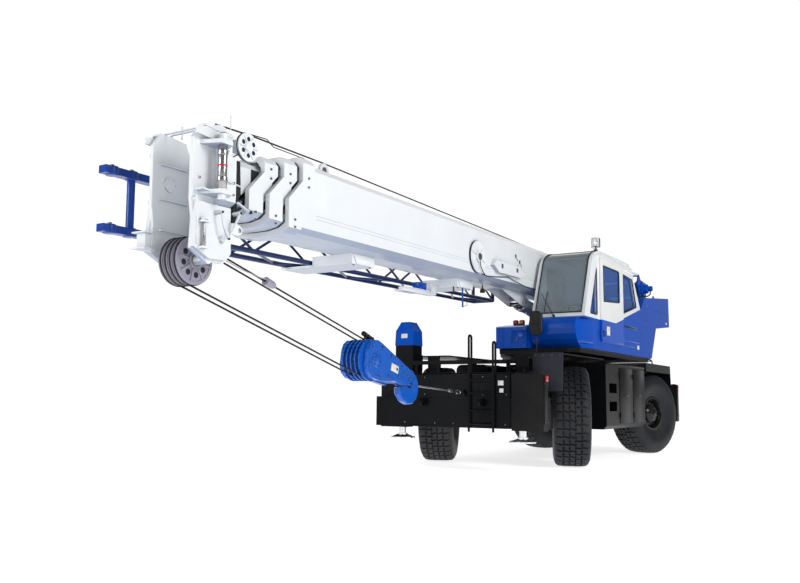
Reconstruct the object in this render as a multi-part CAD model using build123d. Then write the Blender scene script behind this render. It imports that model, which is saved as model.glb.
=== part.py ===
from build123d import *
import os
from math import atan2, cos, degrees, hypot, radians, sin

# Rough-terrain crane on two steered axles, in millimetres.
# While the pieces are made, x = 0 is the front axle, +X ahead, +Y left and z = 0 the ground.
# The last move puts the middle of the machine's length at x = 0.

# Length over all and the place of the axles
reach_ahead = 7720.0
reach_behind = 6750.0
wheelbase = 4600.0
track = 2380.0
axle_x = {"front": 0.0, "rear": -wheelbase}

# Wheels: 23.5-25 earthmover tyres on disc wheels
tyre_od = 1617.0
tyre_width = 597.0
tread_width = 470.0
shoulder_drop = 38.0
bead_d = 635.0
rim_width = 430.0
rim_wall = 16.0
rim_flange = 26.0
disc_offset = 95.0
disc_thick = 26.0
hub_r = 185.0
hub_reach = 250.0
wheel_running_gap = 0.3
wheel_z = tyre_od / 2

# Steering: the angle each axle stands at, left turn positive
steer_rest = {"front": 22.0, "rear": -20.0}
kingpin_y = 905.0
kingpin_r = 32.0
yoke_gap = 150.0
yoke_thick = 55.0
spindle_r = 70.0
bearing_gap = 0.5

# Axle housings
axle_tube_r = 125.0
differential_r = 235.0

# Main frame
frame_half = 400.0
frame_bottom = 1020.0
frame_top = 1500.0
frame_plate = 22.0
seat_half = 760.0
seat_depth = 200.0

# Slew ring
slew_x = -2200.0
ring_outer = 740.0
ring_inner = 520.0
ring_height = 100.0
bearing_running = 0.3

# Towing lugs on the outrigger boxes
tow_bore_r = 26.0
tow_lug = 95.0
tow_lug_r = 55.0
tow_y = 500.0
tow_z = 1020.0
tow_thick = 40.0
tow_reach = tow_lug + tow_lug_r

# Outrigger boxes: two beams side by side, each with its jack
box_half_x = 210.0
box_bottom = 640.0
box_top = 1100.0
box_wall = 14.0
lane_gap = 8.0
beam_gap = 6.0
box_reach = 1400.0
box_notch = 935.0
beam_end = 1450.0
beam_wall = 16.0
beam_stroke = 1800.0
beam_hold = 970.0
jack_y = 1090.0
jack_top = 1440.0
jack_rod_r = 55.0
jack_stroke = 600.0
jack_hold = 320.0
float_d = 400.0
float_thick = 28.0
float_top = 470.0
box_x = {"front": 1590.0, "rear": box_half_x + tow_reach - reach_behind}

# Deck and mudguards
deck_top = 1460.0
deck_thick = 8.0
deck_rear = 985.0
sling_y = 200.0
sling_z = 1160.0
mudguard_z = {"front": 1780.0, "rear": 1825.0}
mudguard_thick = 20.0
mudguard_inner = 500.0
mudguard_outer = 1470.0
tail_lamp_x = -5720.0
side_box_front = -1080.0
side_box_rear = -3540.0
side_box_inner = 790.0
side_box_bottom = 570.0
side_box_top = 1720.0

# Front ladder: y and top of each rail, and the heights of the rungs
ladder_rails = [(285.0, 2030.0), (685.0, 1920.0)]
ladder_rungs = (700.0, 900.0, 1160.0, 1350.0)
ladder_rail_r = 17.0
ladder_rung_r = 14.0
ladder_stand = 45.0
ladder_bend = 40.0
ladder_foot = 585.0

# Engine between the frame plates
rear_cross_length = 180.0
engine_gap = 5.0
engine_front = -5120.0

# Superstructure
base_plate_bottom = 1860.0
base_plate_top = 1940.0
house_side = 1400.0
house_inner = 450.0
house_wall = 30.0
louvre_count = 9
louvre_pitch = 40.0
tail_x = -5990.0
house_rear = -4790.0
cheek_inner = 405.0
cheek_thick = 40.0

# Winches on the tail
winch_axis = (-5250.0, 3530.0)
drum_r = 130.0
drum_flange_r = 195.0

# Cab, left of the boom
cab_front = -210.0
belt_z = 2470.0
belt_kink = -1830.0
belt_rear = (-3660.0, 2910.0)
cab_wall = 36.0
cab_floor = 2010.0
cab_roof = 3700.0
screen_lean = 390.0
screen_low = 2530.0
screen_top = 3400.0
screen_run = 900.0
screen_margin = 60.0
roof_bend_steps = 7
rear_light = (3020.0, 3440.0)
rear_margin = 130.0
door_front = -1030.0
door_rear = -2320.0
door_bottom = 2080.0
door_top = 3560.0
door_thick = 30.0
door_gap = 6.0
door_travel = 1020.0
rail_height = 34.0
glass_thick = 8.0
mirror_y = 640.0
mirror_z = 2350.0
mirror_width = 225.0
mirror_height = 420.0
mirror_stay_drop = 50.0

# Boom: the pivot, its angle at rest and the section sizes
pivot_x = -4000.0
pivot_z = 3240.0
pivot_pin_r = 65.0
boom_rest = -1.0
boom_wall = 12.0
section_stroke = 7600.0
collar_depth = 230.0
collar_swell = 42.0
wear_gap = 0.3
boom_tail = -330.0
# name, width, height, front end along the boom, and how much stays inside the outer section at full reach
boom_sizes = [
    ("base", 750.0, 815.0, 10100.0, 0.0),
    ("second", 652.0, 711.0, 10360.0, 1550.0),
    ("third", 554.0, 607.0, 10620.0, 1510.0),
    ("top", 456.0, 503.0, 11110.0, 1470.0),
]
# name, width, height, start and front end of each section as it lies retracted
boom_sections = [("base", boom_sizes[0][1], boom_sizes[0][2], boom_tail, boom_sizes[0][3])]
for outer, (name, width, height, front, held) in zip(boom_sizes, boom_sizes[1:]):
    boom_sections.append((name, width, height, outer[3] - section_stroke - held, front))
boom_centre_w = 180.0
keel_drop = 75.0

# Boom head: the upright pins that carry the jib, free between their lugs
head_half = 400.0
jib_pin_r = 42.0
jib_pin_y = 440.0
jib_pin_ahead = 255.0
jib_pin_free = (-20.0, 430.0)
jib_lug_thick = 40.0
jib_pin_end = 70.0
spool_reach = 545.0
spool_w = -560.0
guide_sheave_r = 145.0

# Jib stowed along the right of the boom
jib_tail = 3200.0
jib_neck = 10600.0
jib_inner = -560.0
jib_outer = -960.0
jib_low = -300.0
jib_high = 180.0
jib_chord_r = 32.0

# Lift cylinder
lift_foot = (-2850.0, 2560.0)
lift_pin_u = 3400.0
lift_pin_w = -360.0
lift_barrel_r = 128.0
lift_rod_r = 85.0
lift_barrel_length = 2108.0
lift_pin_r = 50.0
lift_eye_r = 105.0

# Hoist: head sheaves, falls and hook block
head_sheave_u = 11380.0
head_sheave_w = -673.0
head_sheave_r = 235.0
sheave_thick = 46.0
sheave_pitch = 62.0
sheave_count = 4
falls_angle = -15.6
falls_length = 3190.0
block_guard_r = 265.0
block_cheek_in = 130.0
block_cheek_out = 215.0
hook_reach = 1210.0
hook_bowl_r = 74.0
hook_bowl_w = -20.0
hook_thick = 100.0
hook_shank_r = 62.0


def block(x0, x1, y0, y1, z0, z1):
    """Rectangular block between two corners."""
    return Pos((x0 + x1) / 2, (y0 + y1) / 2, (z0 + z1) / 2) * Box(x1 - x0, y1 - y0, z1 - z0)


def side_outline(points, y0, y1):
    """Outline of (x, z) points, as thick as from y0 to y1."""
    face = make_face(Polyline(*points, close=True))
    return extrude(Plane.XZ.offset(-y1) * face, amount=y1 - y0)


def front_outline(points, x0, x1):
    """Outline of (y, z) points, as thick as from x0 to x1."""
    face = make_face(Polyline(*points, close=True))
    return extrude(Plane.YZ.offset(x0) * face, amount=x1 - x0)


def plan_outline(points, z0, z1):
    """Outline of (x, y) points, as thick as from z0 to z1."""
    face = make_face(Polyline(*points, close=True))
    return extrude(Plane.XY.offset(z0) * face, amount=z1 - z0)


def rod(start, end, radius):
    """Round bar from one point to another."""
    line = Vector(*end) - Vector(*start)
    bar = Cylinder(radius, line.length, align=(Align.CENTER, Align.CENTER, Align.MIN))
    return Plane(origin=start, z_dir=line) * bar


def cross_bar(x, z, radius, y0, y1):
    """Round bar along Y."""
    return rod((x, y0, z), (x, y1, z), radius)


def post(x, y, radius, z0, z1):
    """Upright round bar."""
    return rod((x, y, z0), (x, y, z1), radius)


def mirrored(shape):
    """The same piece on the other side of the machine."""
    return mirror(shape, about=Plane.XZ)


def both_sides(shape):
    return shape + mirrored(shape)


# Wheels

def wheel_profile_part(points):
    """Revolve (radius, axial) points about the Y axis."""
    face = make_face(Polyline(*[(r, a) for r, a in points], close=True))
    return revolve(Plane.XY * face, axis=Axis.Y)


def tyre():
    """Tyre about the Y axis, middle at the origin, +Y outboard."""
    outer = tyre_od / 2
    half = tyre_width / 2
    bead = bead_d / 2 + wheel_running_gap
    points = [
        (bead, -rim_width / 2 + rim_flange),
        (bead + 60, -rim_width / 2 + 4),
        (outer * 0.62, -half + 12),
        (outer * 0.76, -half),
        (outer * 0.89, -half + 14),
        (outer - shoulder_drop, -tread_width / 2 - 24),
        (outer - 9, -tread_width / 2 + 12),
        (outer, -tread_width / 4),
    ]
    upper = [(r, -a) for r, a in reversed(points)]
    return wheel_profile_part(points + upper)


def rim():
    """Disc wheel with its hub, +Y outboard, bored for the spindle."""
    seat = bead_d / 2
    half = rim_width / 2
    flange = seat + 38
    well = seat - rim_wall
    barrel = [
        (well, -half), (flange, -half), (flange, -half + 10), (seat, -half + rim_flange - 2),
        (seat, half - rim_flange + 2), (flange, half - 10), (flange, half), (well, half),
        (well - 26, half - 60), (well - 26, -half + 60),
    ]
    inner = well - 26
    disc = [
        (inner + 8, disc_offset - disc_thick), (inner + 8, disc_offset),
        (hub_r + 40, disc_offset + 30), (hub_r, disc_offset + 34),
        (hub_r, disc_offset + 90), (hub_r * 0.82, disc_offset + 120),
        (hub_r * 0.5, hub_reach - 10), (0, hub_reach), (0, -60),
        (hub_r * 0.75, -60), (hub_r, -30), (hub_r, disc_offset - 6),
        (hub_r + 40, disc_offset - disc_thick + 22),
    ]
    shape = wheel_profile_part(barrel) + wheel_profile_part(disc)
    bore = Pos(0, 10, 0) * Rot(90, 0, 0) * Cylinder(spindle_r + bearing_gap, 300)
    return shape - bore


def wheel_place(axle, side):
    """Where a wheel or knuckle stands: turned about its kingpin to the angle at rest."""
    turn = steer_rest[axle]
    at = Pos(axle_x[axle], side * kingpin_y, wheel_z) * Rot(0, 0, turn)
    return at


def on_wheel(shape, axle, side):
    """A piece made about the wheel's middle, +Y outboard, put at its wheel."""
    offset = track / 2 - kingpin_y
    if side < 0:
        shape = mirrored(shape)
    return wheel_place(axle, side) * Pos(0, side * offset, 0) * shape


def knuckle():
    """Steering knuckle about its kingpin, left side, +Y outboard."""
    half = yoke_gap - 6
    body = Cylinder(92, 2 * half)
    pins = Cylinder(kingpin_r, 2 * (yoke_gap + yoke_thick))
    neck = Rot(90, 0, 0) * Pos(0, 0, -110) * Cone(150, 110, 110)
    carrier = Pos(0, 120, 0) * Rot(90, 0, 0) * Cylinder(165, 40)
    tip = track / 2 - kingpin_y + 150
    spindle = rod((0, 60, 0), (0, tip, 0), spindle_r)
    arm = plan_outline([(-40, -10), (-330, -62), (-345, -12), (-60, 90)], -half + 10, -half + 55)
    eye = Pos(-318, -34, -half + 32) * Cylinder(45, 70)
    return body + pins + neck + carrier + spindle + arm + eye


def on_kingpin(shape, axle, side):
    if axle == "rear":
        shape = mirror(shape, about=Plane.YZ)
    if side < 0:
        shape = mirrored(shape)
    return wheel_place(axle, side) * shape


def axle_housing(axle):
    """Axle tube with its differential, end yokes for the kingpins and pads under the frame."""
    x = axle_x[axle]
    z = wheel_z
    inboard = kingpin_y - 145
    tube = cross_bar(x, z, axle_tube_r, -inboard, inboard)
    ball = Pos(x, 0, z) * Sphere(differential_r)
    ball = ball & block(x - 300, x + 300, -190, 190, z - 300, frame_bottom - 6)
    nose_dir = -1 if axle == "front" else 1
    nose = rod((x, 0, z), (x + nose_dir * 330, 0, z), 95)
    shape = tube + ball + nose
    yoke = plan_outline([(-130, inboard - 60), (-130, inboard + 30), (-60, kingpin_y + 62),
                         (60, kingpin_y + 62), (130, inboard + 30), (130, inboard - 60)],
                        -yoke_gap - yoke_thick, yoke_gap + yoke_thick)
    mouth = block(-200, 200, inboard + 5, kingpin_y + 200, -yoke_gap, yoke_gap)
    pin_hole = Pos(0, kingpin_y, 0) * Cylinder(kingpin_r + bearing_gap, 600)
    end = Pos(x, 0, z) * (yoke - mouth - pin_hole)
    pads = block(x - 150, x + 150, frame_half - 150, frame_half, z + 60, frame_bottom)
    ram = rod((x - nose_dir * 230, -340, z - 40), (x - nose_dir * 230, 340, z - 40), 62)
    bracket = block(x - 250, x + 250, -150, 150, z - 90, z + 30)
    return shape + both_sides(end + pads) + ram + bracket


# Main frame

def carrier_frame():
    """Two deep side plates joined by cross members, widened into the slew seat."""
    front = box_x["front"] - box_half_x
    rear = box_x["rear"] + box_half_x
    outline = [
        (front, frame_bottom - 130), (front, deck_top - 65), (deck_rear - 10, deck_top - 65),
        (deck_rear - 110, frame_top),
        (rear, frame_top), (rear, frame_bottom - 130), (rear + 260, frame_bottom - 130),
        (rear + 420, frame_bottom), (front - 480, frame_bottom), (front - 360, frame_bottom - 130),
    ]
    plate = side_outline(outline, frame_half - frame_plate, frame_half)
    for x in (-1450, -2200, -2950):
        plate -= cross_bar(x, (frame_bottom + frame_top) / 2, 120, frame_half - 100, frame_half + 100)
    shape = both_sides(plate)
    inside = frame_half - frame_plate
    # x of the middle and length of each cross member
    for x, length in ((front - 130, 260), (-620, 180), (-3750, 160), (-5000, 140), (rear + rear_cross_length / 2, rear_cross_length)):
        shape += block(x - length / 2, x + length / 2, -inside, inside, frame_bottom + 60, deck_top - 80)
    seat_z = frame_top - seat_depth
    seat = plan_outline([(slew_x + 900, -seat_half + 260), (slew_x + 640, -seat_half),
                         (slew_x - 640, -seat_half), (slew_x - 900, -seat_half + 260),
                         (slew_x - 900, seat_half - 260), (slew_x - 640, seat_half),
                         (slew_x + 640, seat_half), (slew_x + 900, seat_half - 260)],
                        seat_z, frame_top)
    seat -= Pos(slew_x, 0, frame_top) * Cylinder(330, 900)
    return shape + seat


# Outriggers

def lane_width():
    return box_half_x - box_wall - lane_gap / 2


def outrigger_box():
    """Two tubes side by side about x = 0; the front one is open to the left."""
    outer_front = block(0, box_half_x, -box_reach, box_notch, box_bottom, box_top)
    outer_rear = block(-box_half_x, 0, -box_notch, box_reach, box_bottom, box_top)
    lane = lane_width()
    inside = block(lane_gap / 2, lane_gap / 2 + lane, -box_reach + 12, box_reach + 50,
                   box_bottom + box_wall, box_top - box_wall)
    return outer_front + outer_rear - inside - Rot(0, 0, 180) * inside


def tow_lugs():
    """Pair of bored towing lugs on the front face of an outrigger box about x = 0."""
    half = tow_thick / 2
    tip_x = box_half_x + tow_lug
    lug = block(box_half_x, tip_x, tow_y - half, tow_y + half, tow_z - tow_lug_r, tow_z + tow_lug_r)
    lug += cross_bar(tip_x, tow_z, tow_lug_r, tow_y - half, tow_y + half)
    lug -= cross_bar(tip_x, tow_z, tow_bore_r, tow_y - tow_thick, tow_y + tow_thick)
    return both_sides(lug)


def outrigger_beam():
    """Beam of the front lane, reaching out to the left, with its upright jack housing."""
    lane = lane_width()
    x0 = lane_gap / 2 + beam_gap
    x1 = lane_gap / 2 + lane - beam_gap
    z0 = box_bottom + box_wall + beam_gap
    z1 = box_top - box_wall - beam_gap
    inner = box_reach - beam_hold - beam_stroke
    tube = block(x0, x1, inner, beam_end, z0, z1)
    tube -= block(x0 + beam_wall, x1 - beam_wall, inner - 30, jack_y - 140, z0 + beam_wall, z1 - beam_wall)
    housing = block(x0, x1, box_notch + 15, beam_end, box_bottom - 25, jack_top)
    shoe = block(x0 + 20, x1 - 20, inner + 10, inner + 130, z0 - beam_gap + wear_gap, z0)
    mid = (x0 + x1) / 2
    bore = post(mid, jack_y, jack_rod_r + bearing_gap, 0, jack_top - 30)
    return tube + housing + shoe - bore


def outrigger_jack():
    """Jack rod with its float, for the front lane on the left."""
    lane = lane_width()
    mid = lane_gap / 2 + lane / 2
    rod_piece = post(mid, jack_y, jack_rod_r, float_top - 5, float_top + jack_stroke + jack_hold)
    ball = Pos(mid, jack_y, float_top + 20) * Cylinder(80, 60)
    plate = Pos(mid, jack_y, float_top - float_thick / 2) * Cylinder(float_d / 2, float_thick)
    plate = chamfer(plate.edges().filter_by(GeomType.CIRCLE).group_by(Axis.Z)[-1], 10)
    return rod_piece + ball + plate


def at_corner(shape, axle, side):
    """A piece of the left front lane, put at one of the four corners."""
    turned = shape if side > 0 else Rot(0, 0, 180) * shape
    return Pos(box_x[axle], 0, 0) * turned


# Deck

def front_deck():
    """Front body over the outrigger box, with a slotted upper rail."""
    front = box_x["front"] + box_half_x
    body = block(deck_rear, front, -box_notch, box_notch, box_top, deck_top)
    body = chamfer(body.edges().filter_by(Axis.Y).group_by(Axis.Z)[-1], 20)
    body -= block(deck_rear - 10, front - 24, -frame_half - 20, frame_half + 20, box_top - 10, deck_top - 60)
    rail = block(front - 330, front - 270, -box_notch + 40, box_notch - 40, deck_top + 150, deck_top + 210)
    for y in (-820, -420, 160, 780):
        rail += block(front - 325, front - 275, y - 25, y + 25, deck_top - 2, deck_top + 152)
    lug = side_outline([(front - 5, sling_z - 60), (front + 30, sling_z - 30), (front + 48, sling_z), (front + 30, sling_z + 30),
                        (front - 5, sling_z + 60)], sling_y - 12, sling_y + 12)
    lug -= cross_bar(front + 22, sling_z, 14, sling_y - 40, sling_y + 40)
    return body + rail + lug


def mudguards():
    """Flat-topped guards over the four wheels, with front flaps and skirts."""
    top = mudguard_z["front"]
    guard = block(-960, 1020, mudguard_inner, mudguard_outer, top - mudguard_thick, top)
    flap = side_outline([(1000, top), (1022, top), (1062, 1210), (1040, 1210)], 1000, 1470)
    stay = block(deck_rear, 1020, box_notch - 250, box_notch - 40, deck_top, top - mudguard_thick)
    front_set = guard + flap + stay
    top = mudguard_z["rear"]
    guard = block(-5600, -3640, mudguard_inner, mudguard_outer, top - mudguard_thick, top)
    skirt = block(-5600, -3640, mudguard_outer - 14, mudguard_outer, top - 170, top)
    back = side_outline([(-5580, top), (-5600, top), (-5640, 1420), (-5620, 1420)], mudguard_inner, mudguard_outer)
    stay = block(-5600, -5500, frame_half, mudguard_inner + 30, frame_top - 80, frame_top - 3)
    stay += block(-5600, -5500, 465, mudguard_inner + 30, frame_top - 80, top)
    rear_set = guard + skirt + back + stay
    return both_sides(front_set + rear_set)


def side_boxes():
    """Box with steps between the left wheels and the tank between the right wheels."""
    left = block(side_box_rear, side_box_front, side_box_inner, 1460, side_box_bottom, side_box_top)
    left = chamfer(left.edges().filter_by(Axis.X).group_by(Axis.Z)[0], 60)
    for z in (880, 1200):
        left -= block(side_box_front - 620, side_box_front - 180, 1300, 1500, z, z + 170)
    arm = block(side_box_rear + 300, side_box_front - 300, seat_half, side_box_inner, frame_top - 150, frame_top - 40)
    tank = block(side_box_rear, side_box_front, -1460, -side_box_inner, side_box_bottom + 90, side_box_top)
    tank = fillet(tank.edges().filter_by(Axis.X), 110)
    return left + arm + tank + mirrored(arm)


def engine():
    """Engine as one plain block between the frame plates."""
    half = frame_half - frame_plate
    rear = box_x["rear"] + box_half_x + rear_cross_length + engine_gap
    return block(rear, engine_front, -half, half, frame_bottom + 30, 1640)


def engine_hood():
    """Sheet hood over the engine with a louvred top edge."""
    outline = [(-6300, frame_top), (-6300, 1800), (-6240, 1870), (-4880, 1870), (-4820, 1800), (-4820, frame_top)]
    hood = side_outline(outline, -460, 460)
    inner = side_outline([(-6285, frame_top - 5), (-6285, 1795), (-6235, 1855), (-4885, 1855),
                          (-4835, 1795), (-4835, frame_top - 5)], -445, 445)
    hood -= inner
    for k in range(7):
        x = -6120 + k * 150
        hood -= block(x, x + 60, 400, 500, 1560, 1780)
        hood -= block(x, x + 60, -500, -400, 1560, 1780)
    return hood


def drive_line():
    """Transfer case with a shaft to each axle."""
    case = block(-2950, -2500, -190, 190, 860, 1180)
    case += block(-2800, -2650, -frame_half + frame_plate, frame_half - frame_plate, 1100, 1180)
    forward = rod((-2500, 0, 960), (-338, 0, wheel_z + 12), 45)
    back = rod((-2950, 0, 960), (-wheelbase + 338, 0, wheel_z + 12), 45)
    return case + forward + back


def slew_ring():
    """Outer ring of the slewing bearing, bolted to the seat."""
    ring = Pos(slew_x, 0, frame_top + ring_height / 2) * Cylinder(ring_outer, ring_height)
    return ring - Pos(slew_x, 0, frame_top) * Cylinder(ring_outer - 110, 400)


def bent_bar(points, bend, radius):
    """Round bar along straight runs joined by arcs."""
    path = FilletPolyline(*points, radius=bend)
    return sweep(Plane(origin=path @ 0, z_dir=path % 0) * Circle(radius), path=path)


def ladder():
    """Front ladder whose side rails bend over into handrails on the deck."""
    front = box_x["front"] + box_half_x
    outer = front + ladder_stand
    inner = front - ladder_stand
    shape = None
    for y, top in ladder_rails:
        rail = bent_bar([(outer, y, ladder_foot), (outer, y, top), (inner, y, top), (inner, y, deck_top)],
                        ladder_bend, ladder_rail_r)
        shape = rail if shape is None else shape + rail
        for z in (ladder_foot + 70, deck_top - 50):
            shape += rod((front, y, z), (outer, y, z), ladder_rung_r)
    for z in ladder_rungs:
        shape += rod((outer, ladder_rails[0][0], z), (outer, ladder_rails[1][0], z), ladder_rung_r)
    return shape


def intake_post():
    """Square post at the right of the front deck."""
    return block(1075, 1375, -1310, -980, box_top + 60, 1940) + block(1075, 1375, -1310, -box_notch, 1180, 1300)


def intake_cap():
    """Hooded cap on the post, drawn in towards its top."""
    z = 1940.0
    base = Plane.XY.offset(z) * Pos(1225, -1145) * Rectangle(310, 350)
    mid = Plane.XY.offset(z + 240) * Pos(1225, -1145) * Rectangle(300, 330)
    tip = Plane.XY.offset(z + 390) * Pos(1225, -1145) * Rectangle(220, 170)
    lower = loft([base, mid])
    return lower + loft([mid, tip])


# Superstructure

def slew_circle(radius, z0, z1):
    return Pos(slew_x, 0, z0) * Cylinder(radius, z1 - z0, align=(Align.CENTER, Align.CENTER, Align.MIN))


def turntable():
    """Ring flange and base plate of the superstructure."""
    flange_bottom = frame_top + ring_height + bearing_running
    shape = slew_circle(ring_outer, flange_bottom, flange_bottom + 60)
    shape += slew_circle(ring_outer - 80, flange_bottom, base_plate_bottom + 10)
    shape -= slew_circle(ring_inner - 190, flange_bottom - 50, base_plate_bottom - 20)
    return shape + plan_outline([(-260, 1290), (-4300, 1340), (-4300, -1340), (-2960, -1340),
                                 (-1200, -560), (-120, -110), (-120, 1120)], base_plate_bottom, base_plate_top)


def boom_cheeks():
    """The two cheeks that carry the boom on its pin, the plate behind them and the lugs of the lift cylinder."""
    cheek = [(-1750, base_plate_top), (-2250, 2560), (-3640, 3480), (-3860, 3560), (-4160, 3550),
             (-4790, 3100), (-4790, 2560), (-4330, base_plate_top)]
    plate = side_outline(cheek, cheek_inner, cheek_inner + cheek_thick)
    plate -= side_outline([(-2700, 2120), (-3250, 2720), (-4000, 2720), (-4150, 2120)],
                          cheek_inner - 10, cheek_inner + cheek_thick + 10)
    shape = both_sides(plate)
    shape += cross_bar(pivot_x, pivot_z, pivot_pin_r, -cheek_inner - cheek_thick - 4, cheek_inner + cheek_thick + 4)
    x, z = lift_foot
    lug = side_outline([(x - 260, base_plate_top), (x - 120, z + 50), (x - 60, z + 105), (x + 60, z + 105),
                        (x + 120, z + 50), (x + 330, base_plate_top)], 150, 195)
    shape += both_sides(lug)
    shape += cross_bar(x, z, lift_pin_r, -205, 205)
    return shape + block(-4780, -4740, -cheek_inner, cheek_inner, base_plate_top, 2780)


def nose():
    """Light nose box in front of the boom's foot, beside the cab."""
    return side_outline([(0, base_plate_top), (0, 2310), (-330, 2365), (-700, 2200), (-900, base_plate_top)],
                        -120, house_inner)


def house():
    """Blue body: left house under and behind the cab, nose and right rear house."""
    roll = [(cab_front, belt_z), (cab_front + 55, belt_z - 22), (cab_front + 96, belt_z - 62), (cab_front + 118, belt_z - 120),
            (cab_front + 122, belt_z - 200), (cab_front + 112, belt_z - 300), (cab_front + 84, belt_z - 390),
            (cab_front + 30, belt_z - 465), (cab_front - 40, base_plate_top)]
    outline = roll[::-1] + [(belt_kink, belt_z), belt_rear, (-3930, 3170), (house_rear, 3255),
                            (house_rear, 2600), (-4370, base_plate_top)]
    left = side_outline(outline, house_inner, house_side)
    well = side_outline([(cab_front - 60, belt_z + 20), (belt_kink, belt_z + 20), (-3080, 2790), (-3080, cab_floor),
                         (-250, cab_floor), (-150, 2090), (-150, 2330)],
                        house_inner + house_wall, house_side - house_wall)
    corner = plan_outline([(0, house_side + 5), (0, house_side - 150), (cab_front + 60, house_side - 105), (-620, house_side + 5)],
                          base_plate_top - 5, belt_z - 30)
    left = left - well - corner
    left -= block(door_rear + 70, door_front - 70, house_side - 90, house_side + 10, door_bottom + 60, belt_z + 600)
    right = side_outline([(-2960, base_plate_top), (-2960, 2440), (-3180, 2620), (house_rear, 2740),
                          (house_rear, 2600), (-4370, base_plate_top)], -house_side, -house_inner)
    right = fillet(right.edges().filter_by(Axis.Y).group_by(Axis.X)[-1], 60)
    for k in range(louvre_count):
        z = 2660 + k * louvre_pitch
        left -= side_outline([(-3880, z), (-3880, z + 18), (-4130, z + 18), (-4130, z)], house_side - 12, house_side + 5)
        right -= side_outline([(-3480, z - 420), (-3480, z - 402), (-4080, z - 402), (-4080, z - 420)],
                              -house_side - 5, -house_side + 12)
    return left + nose() + right


def counterweight():
    """Tail weight across the rear."""
    outline = [(house_rear, 3255), (tail_x, 3370), (tail_x, 2722), (house_rear, 2600)]
    tail = side_outline(outline, -house_side, house_side)
    tail = fillet(tail.edges().filter_by(Axis.Z).group_by(Axis.X)[0], 60)
    return tail


def winches():
    """Two drums side by side on the tail, between three pointed brackets."""
    x, z = winch_axis
    bracket = [(-5080, 3284), (-4880, 3560), (-4950, 3790), (-5010, 3830), (-5120, 3720), (-5560, 3690),
               (-5600, 3640), (-5500, 3324)]
    shape = None
    for y in (-1010, -15, 980):
        plate = side_outline(bracket, y, y + 30)
        shape = plate if shape is None else shape + plate
    for y0, y1 in ((-980, -15), (15, 980)):
        shape += cross_bar(x, z, drum_r, y0, y1)
        for y in (y0 + 60, y1 - 85):
            shape += cross_bar(x, z, drum_flange_r, y, y + 25)
    return shape


# Cab

def belt_at(x):
    """Height of the belt line, level under the windows and rising behind the kink."""
    rise = (belt_rear[1] - belt_z) / (belt_kink - belt_rear[0])
    return belt_z + max(0.0, belt_kink - x) * rise


def roof_bend(grow):
    """Curve from the windscreen back into the roof, moved outwards by grow, as (x, z) points."""
    start = (cab_front - screen_lean, screen_top)
    turn = (cab_front - screen_lean * 1.235, cab_roof - 28)
    end = (cab_front - screen_run, cab_roof)
    points = []
    for k in range(roof_bend_steps + 1):
        t = k / roof_bend_steps
        x = (1 - t) ** 2 * start[0] + 2 * t * (1 - t) * turn[0] + t * t * end[0]
        z = (1 - t) ** 2 * start[1] + 2 * t * (1 - t) * turn[1] + t * t * end[1]
        dx = (1 - t) * (turn[0] - start[0]) + t * (end[0] - turn[0])
        dz = (1 - t) * (turn[1] - start[1]) + t * (end[1] - turn[1])
        size = hypot(dx, dz)
        points.append((x + grow * dz / size, z - grow * dx / size))
    return points


def screen_x(z, grow):
    """Front of the cab at a height below the bend."""
    return cab_front - screen_lean * (z - belt_z) / (screen_top - belt_z) + grow * 1.078


def cab_outline(grow):
    """Side outline of the cab, moved outwards by grow, as (x, z) points."""
    return [(screen_x(belt_z, grow), belt_z)] + roof_bend(grow) + [
        (-2850, cab_roof + 20 + grow), (-3060 - grow * 0.7, cab_roof - 80 + grow * 0.7), (-3150 - grow, 3480),
        (-3590 - grow, belt_at(-3590 - grow)), (belt_kink, belt_z),
    ]


def cab_shell():
    """White cab: pillars, roof and belt, with every window cut."""
    outer = side_outline(cab_outline(0), house_inner, house_side)
    inner = side_outline([(x, z - 60 if z < 3000 else z) for x, z in cab_outline(-cab_wall)],
                         house_inner + cab_wall, house_side - cab_wall)
    shell = outer - inner
    screen_cut = [(cab_front + 200, screen_low), (cab_front - 200, screen_low), (cab_front - screen_lean - 170, screen_top),
                  (cab_front - screen_lean - 310, cab_roof - 140), (cab_front - screen_run - 2, cab_roof - 100),
                  (cab_front - screen_run - 2, cab_roof + 200), (cab_front + 200, cab_roof + 200)]
    shell -= side_outline(screen_cut, house_inner + screen_margin, house_side - screen_margin)
    for outline in (quarter_window(), door_opening(), rear_window()):
        shell -= side_outline(outline, house_side - 100, house_side + 50)
    shell -= side_outline(right_window(), house_inner - 50, house_inner + 100)
    shell -= block(-3800, -3000, house_inner + rear_margin, house_side - rear_margin, rear_light[0], rear_light[1])
    lower_rail = block(door_rear - door_travel - 20, door_front + 30, house_side, house_side + door_gap + door_thick,
                       door_top + 0.3, door_top + rail_height)
    return shell + lower_rail


def quarter_window():
    return [(-500, 2530), (-880, 2530), (-880, 3400)]


def door_opening():
    return [(door_front - 70, belt_z - 30), (door_rear + 70, belt_z - 30), (door_rear + 70, door_top - 60),
            (door_front - 70, door_top - 60)]


def rear_window():
    return [(-2440, 2700), (-3330, 2900), (-3080, 3440), (-2440, 3470)]


def right_window():
    return [(-900, 2620), (-1800, 2620), (-1800, 3400), (-900, 3400)]


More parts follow.
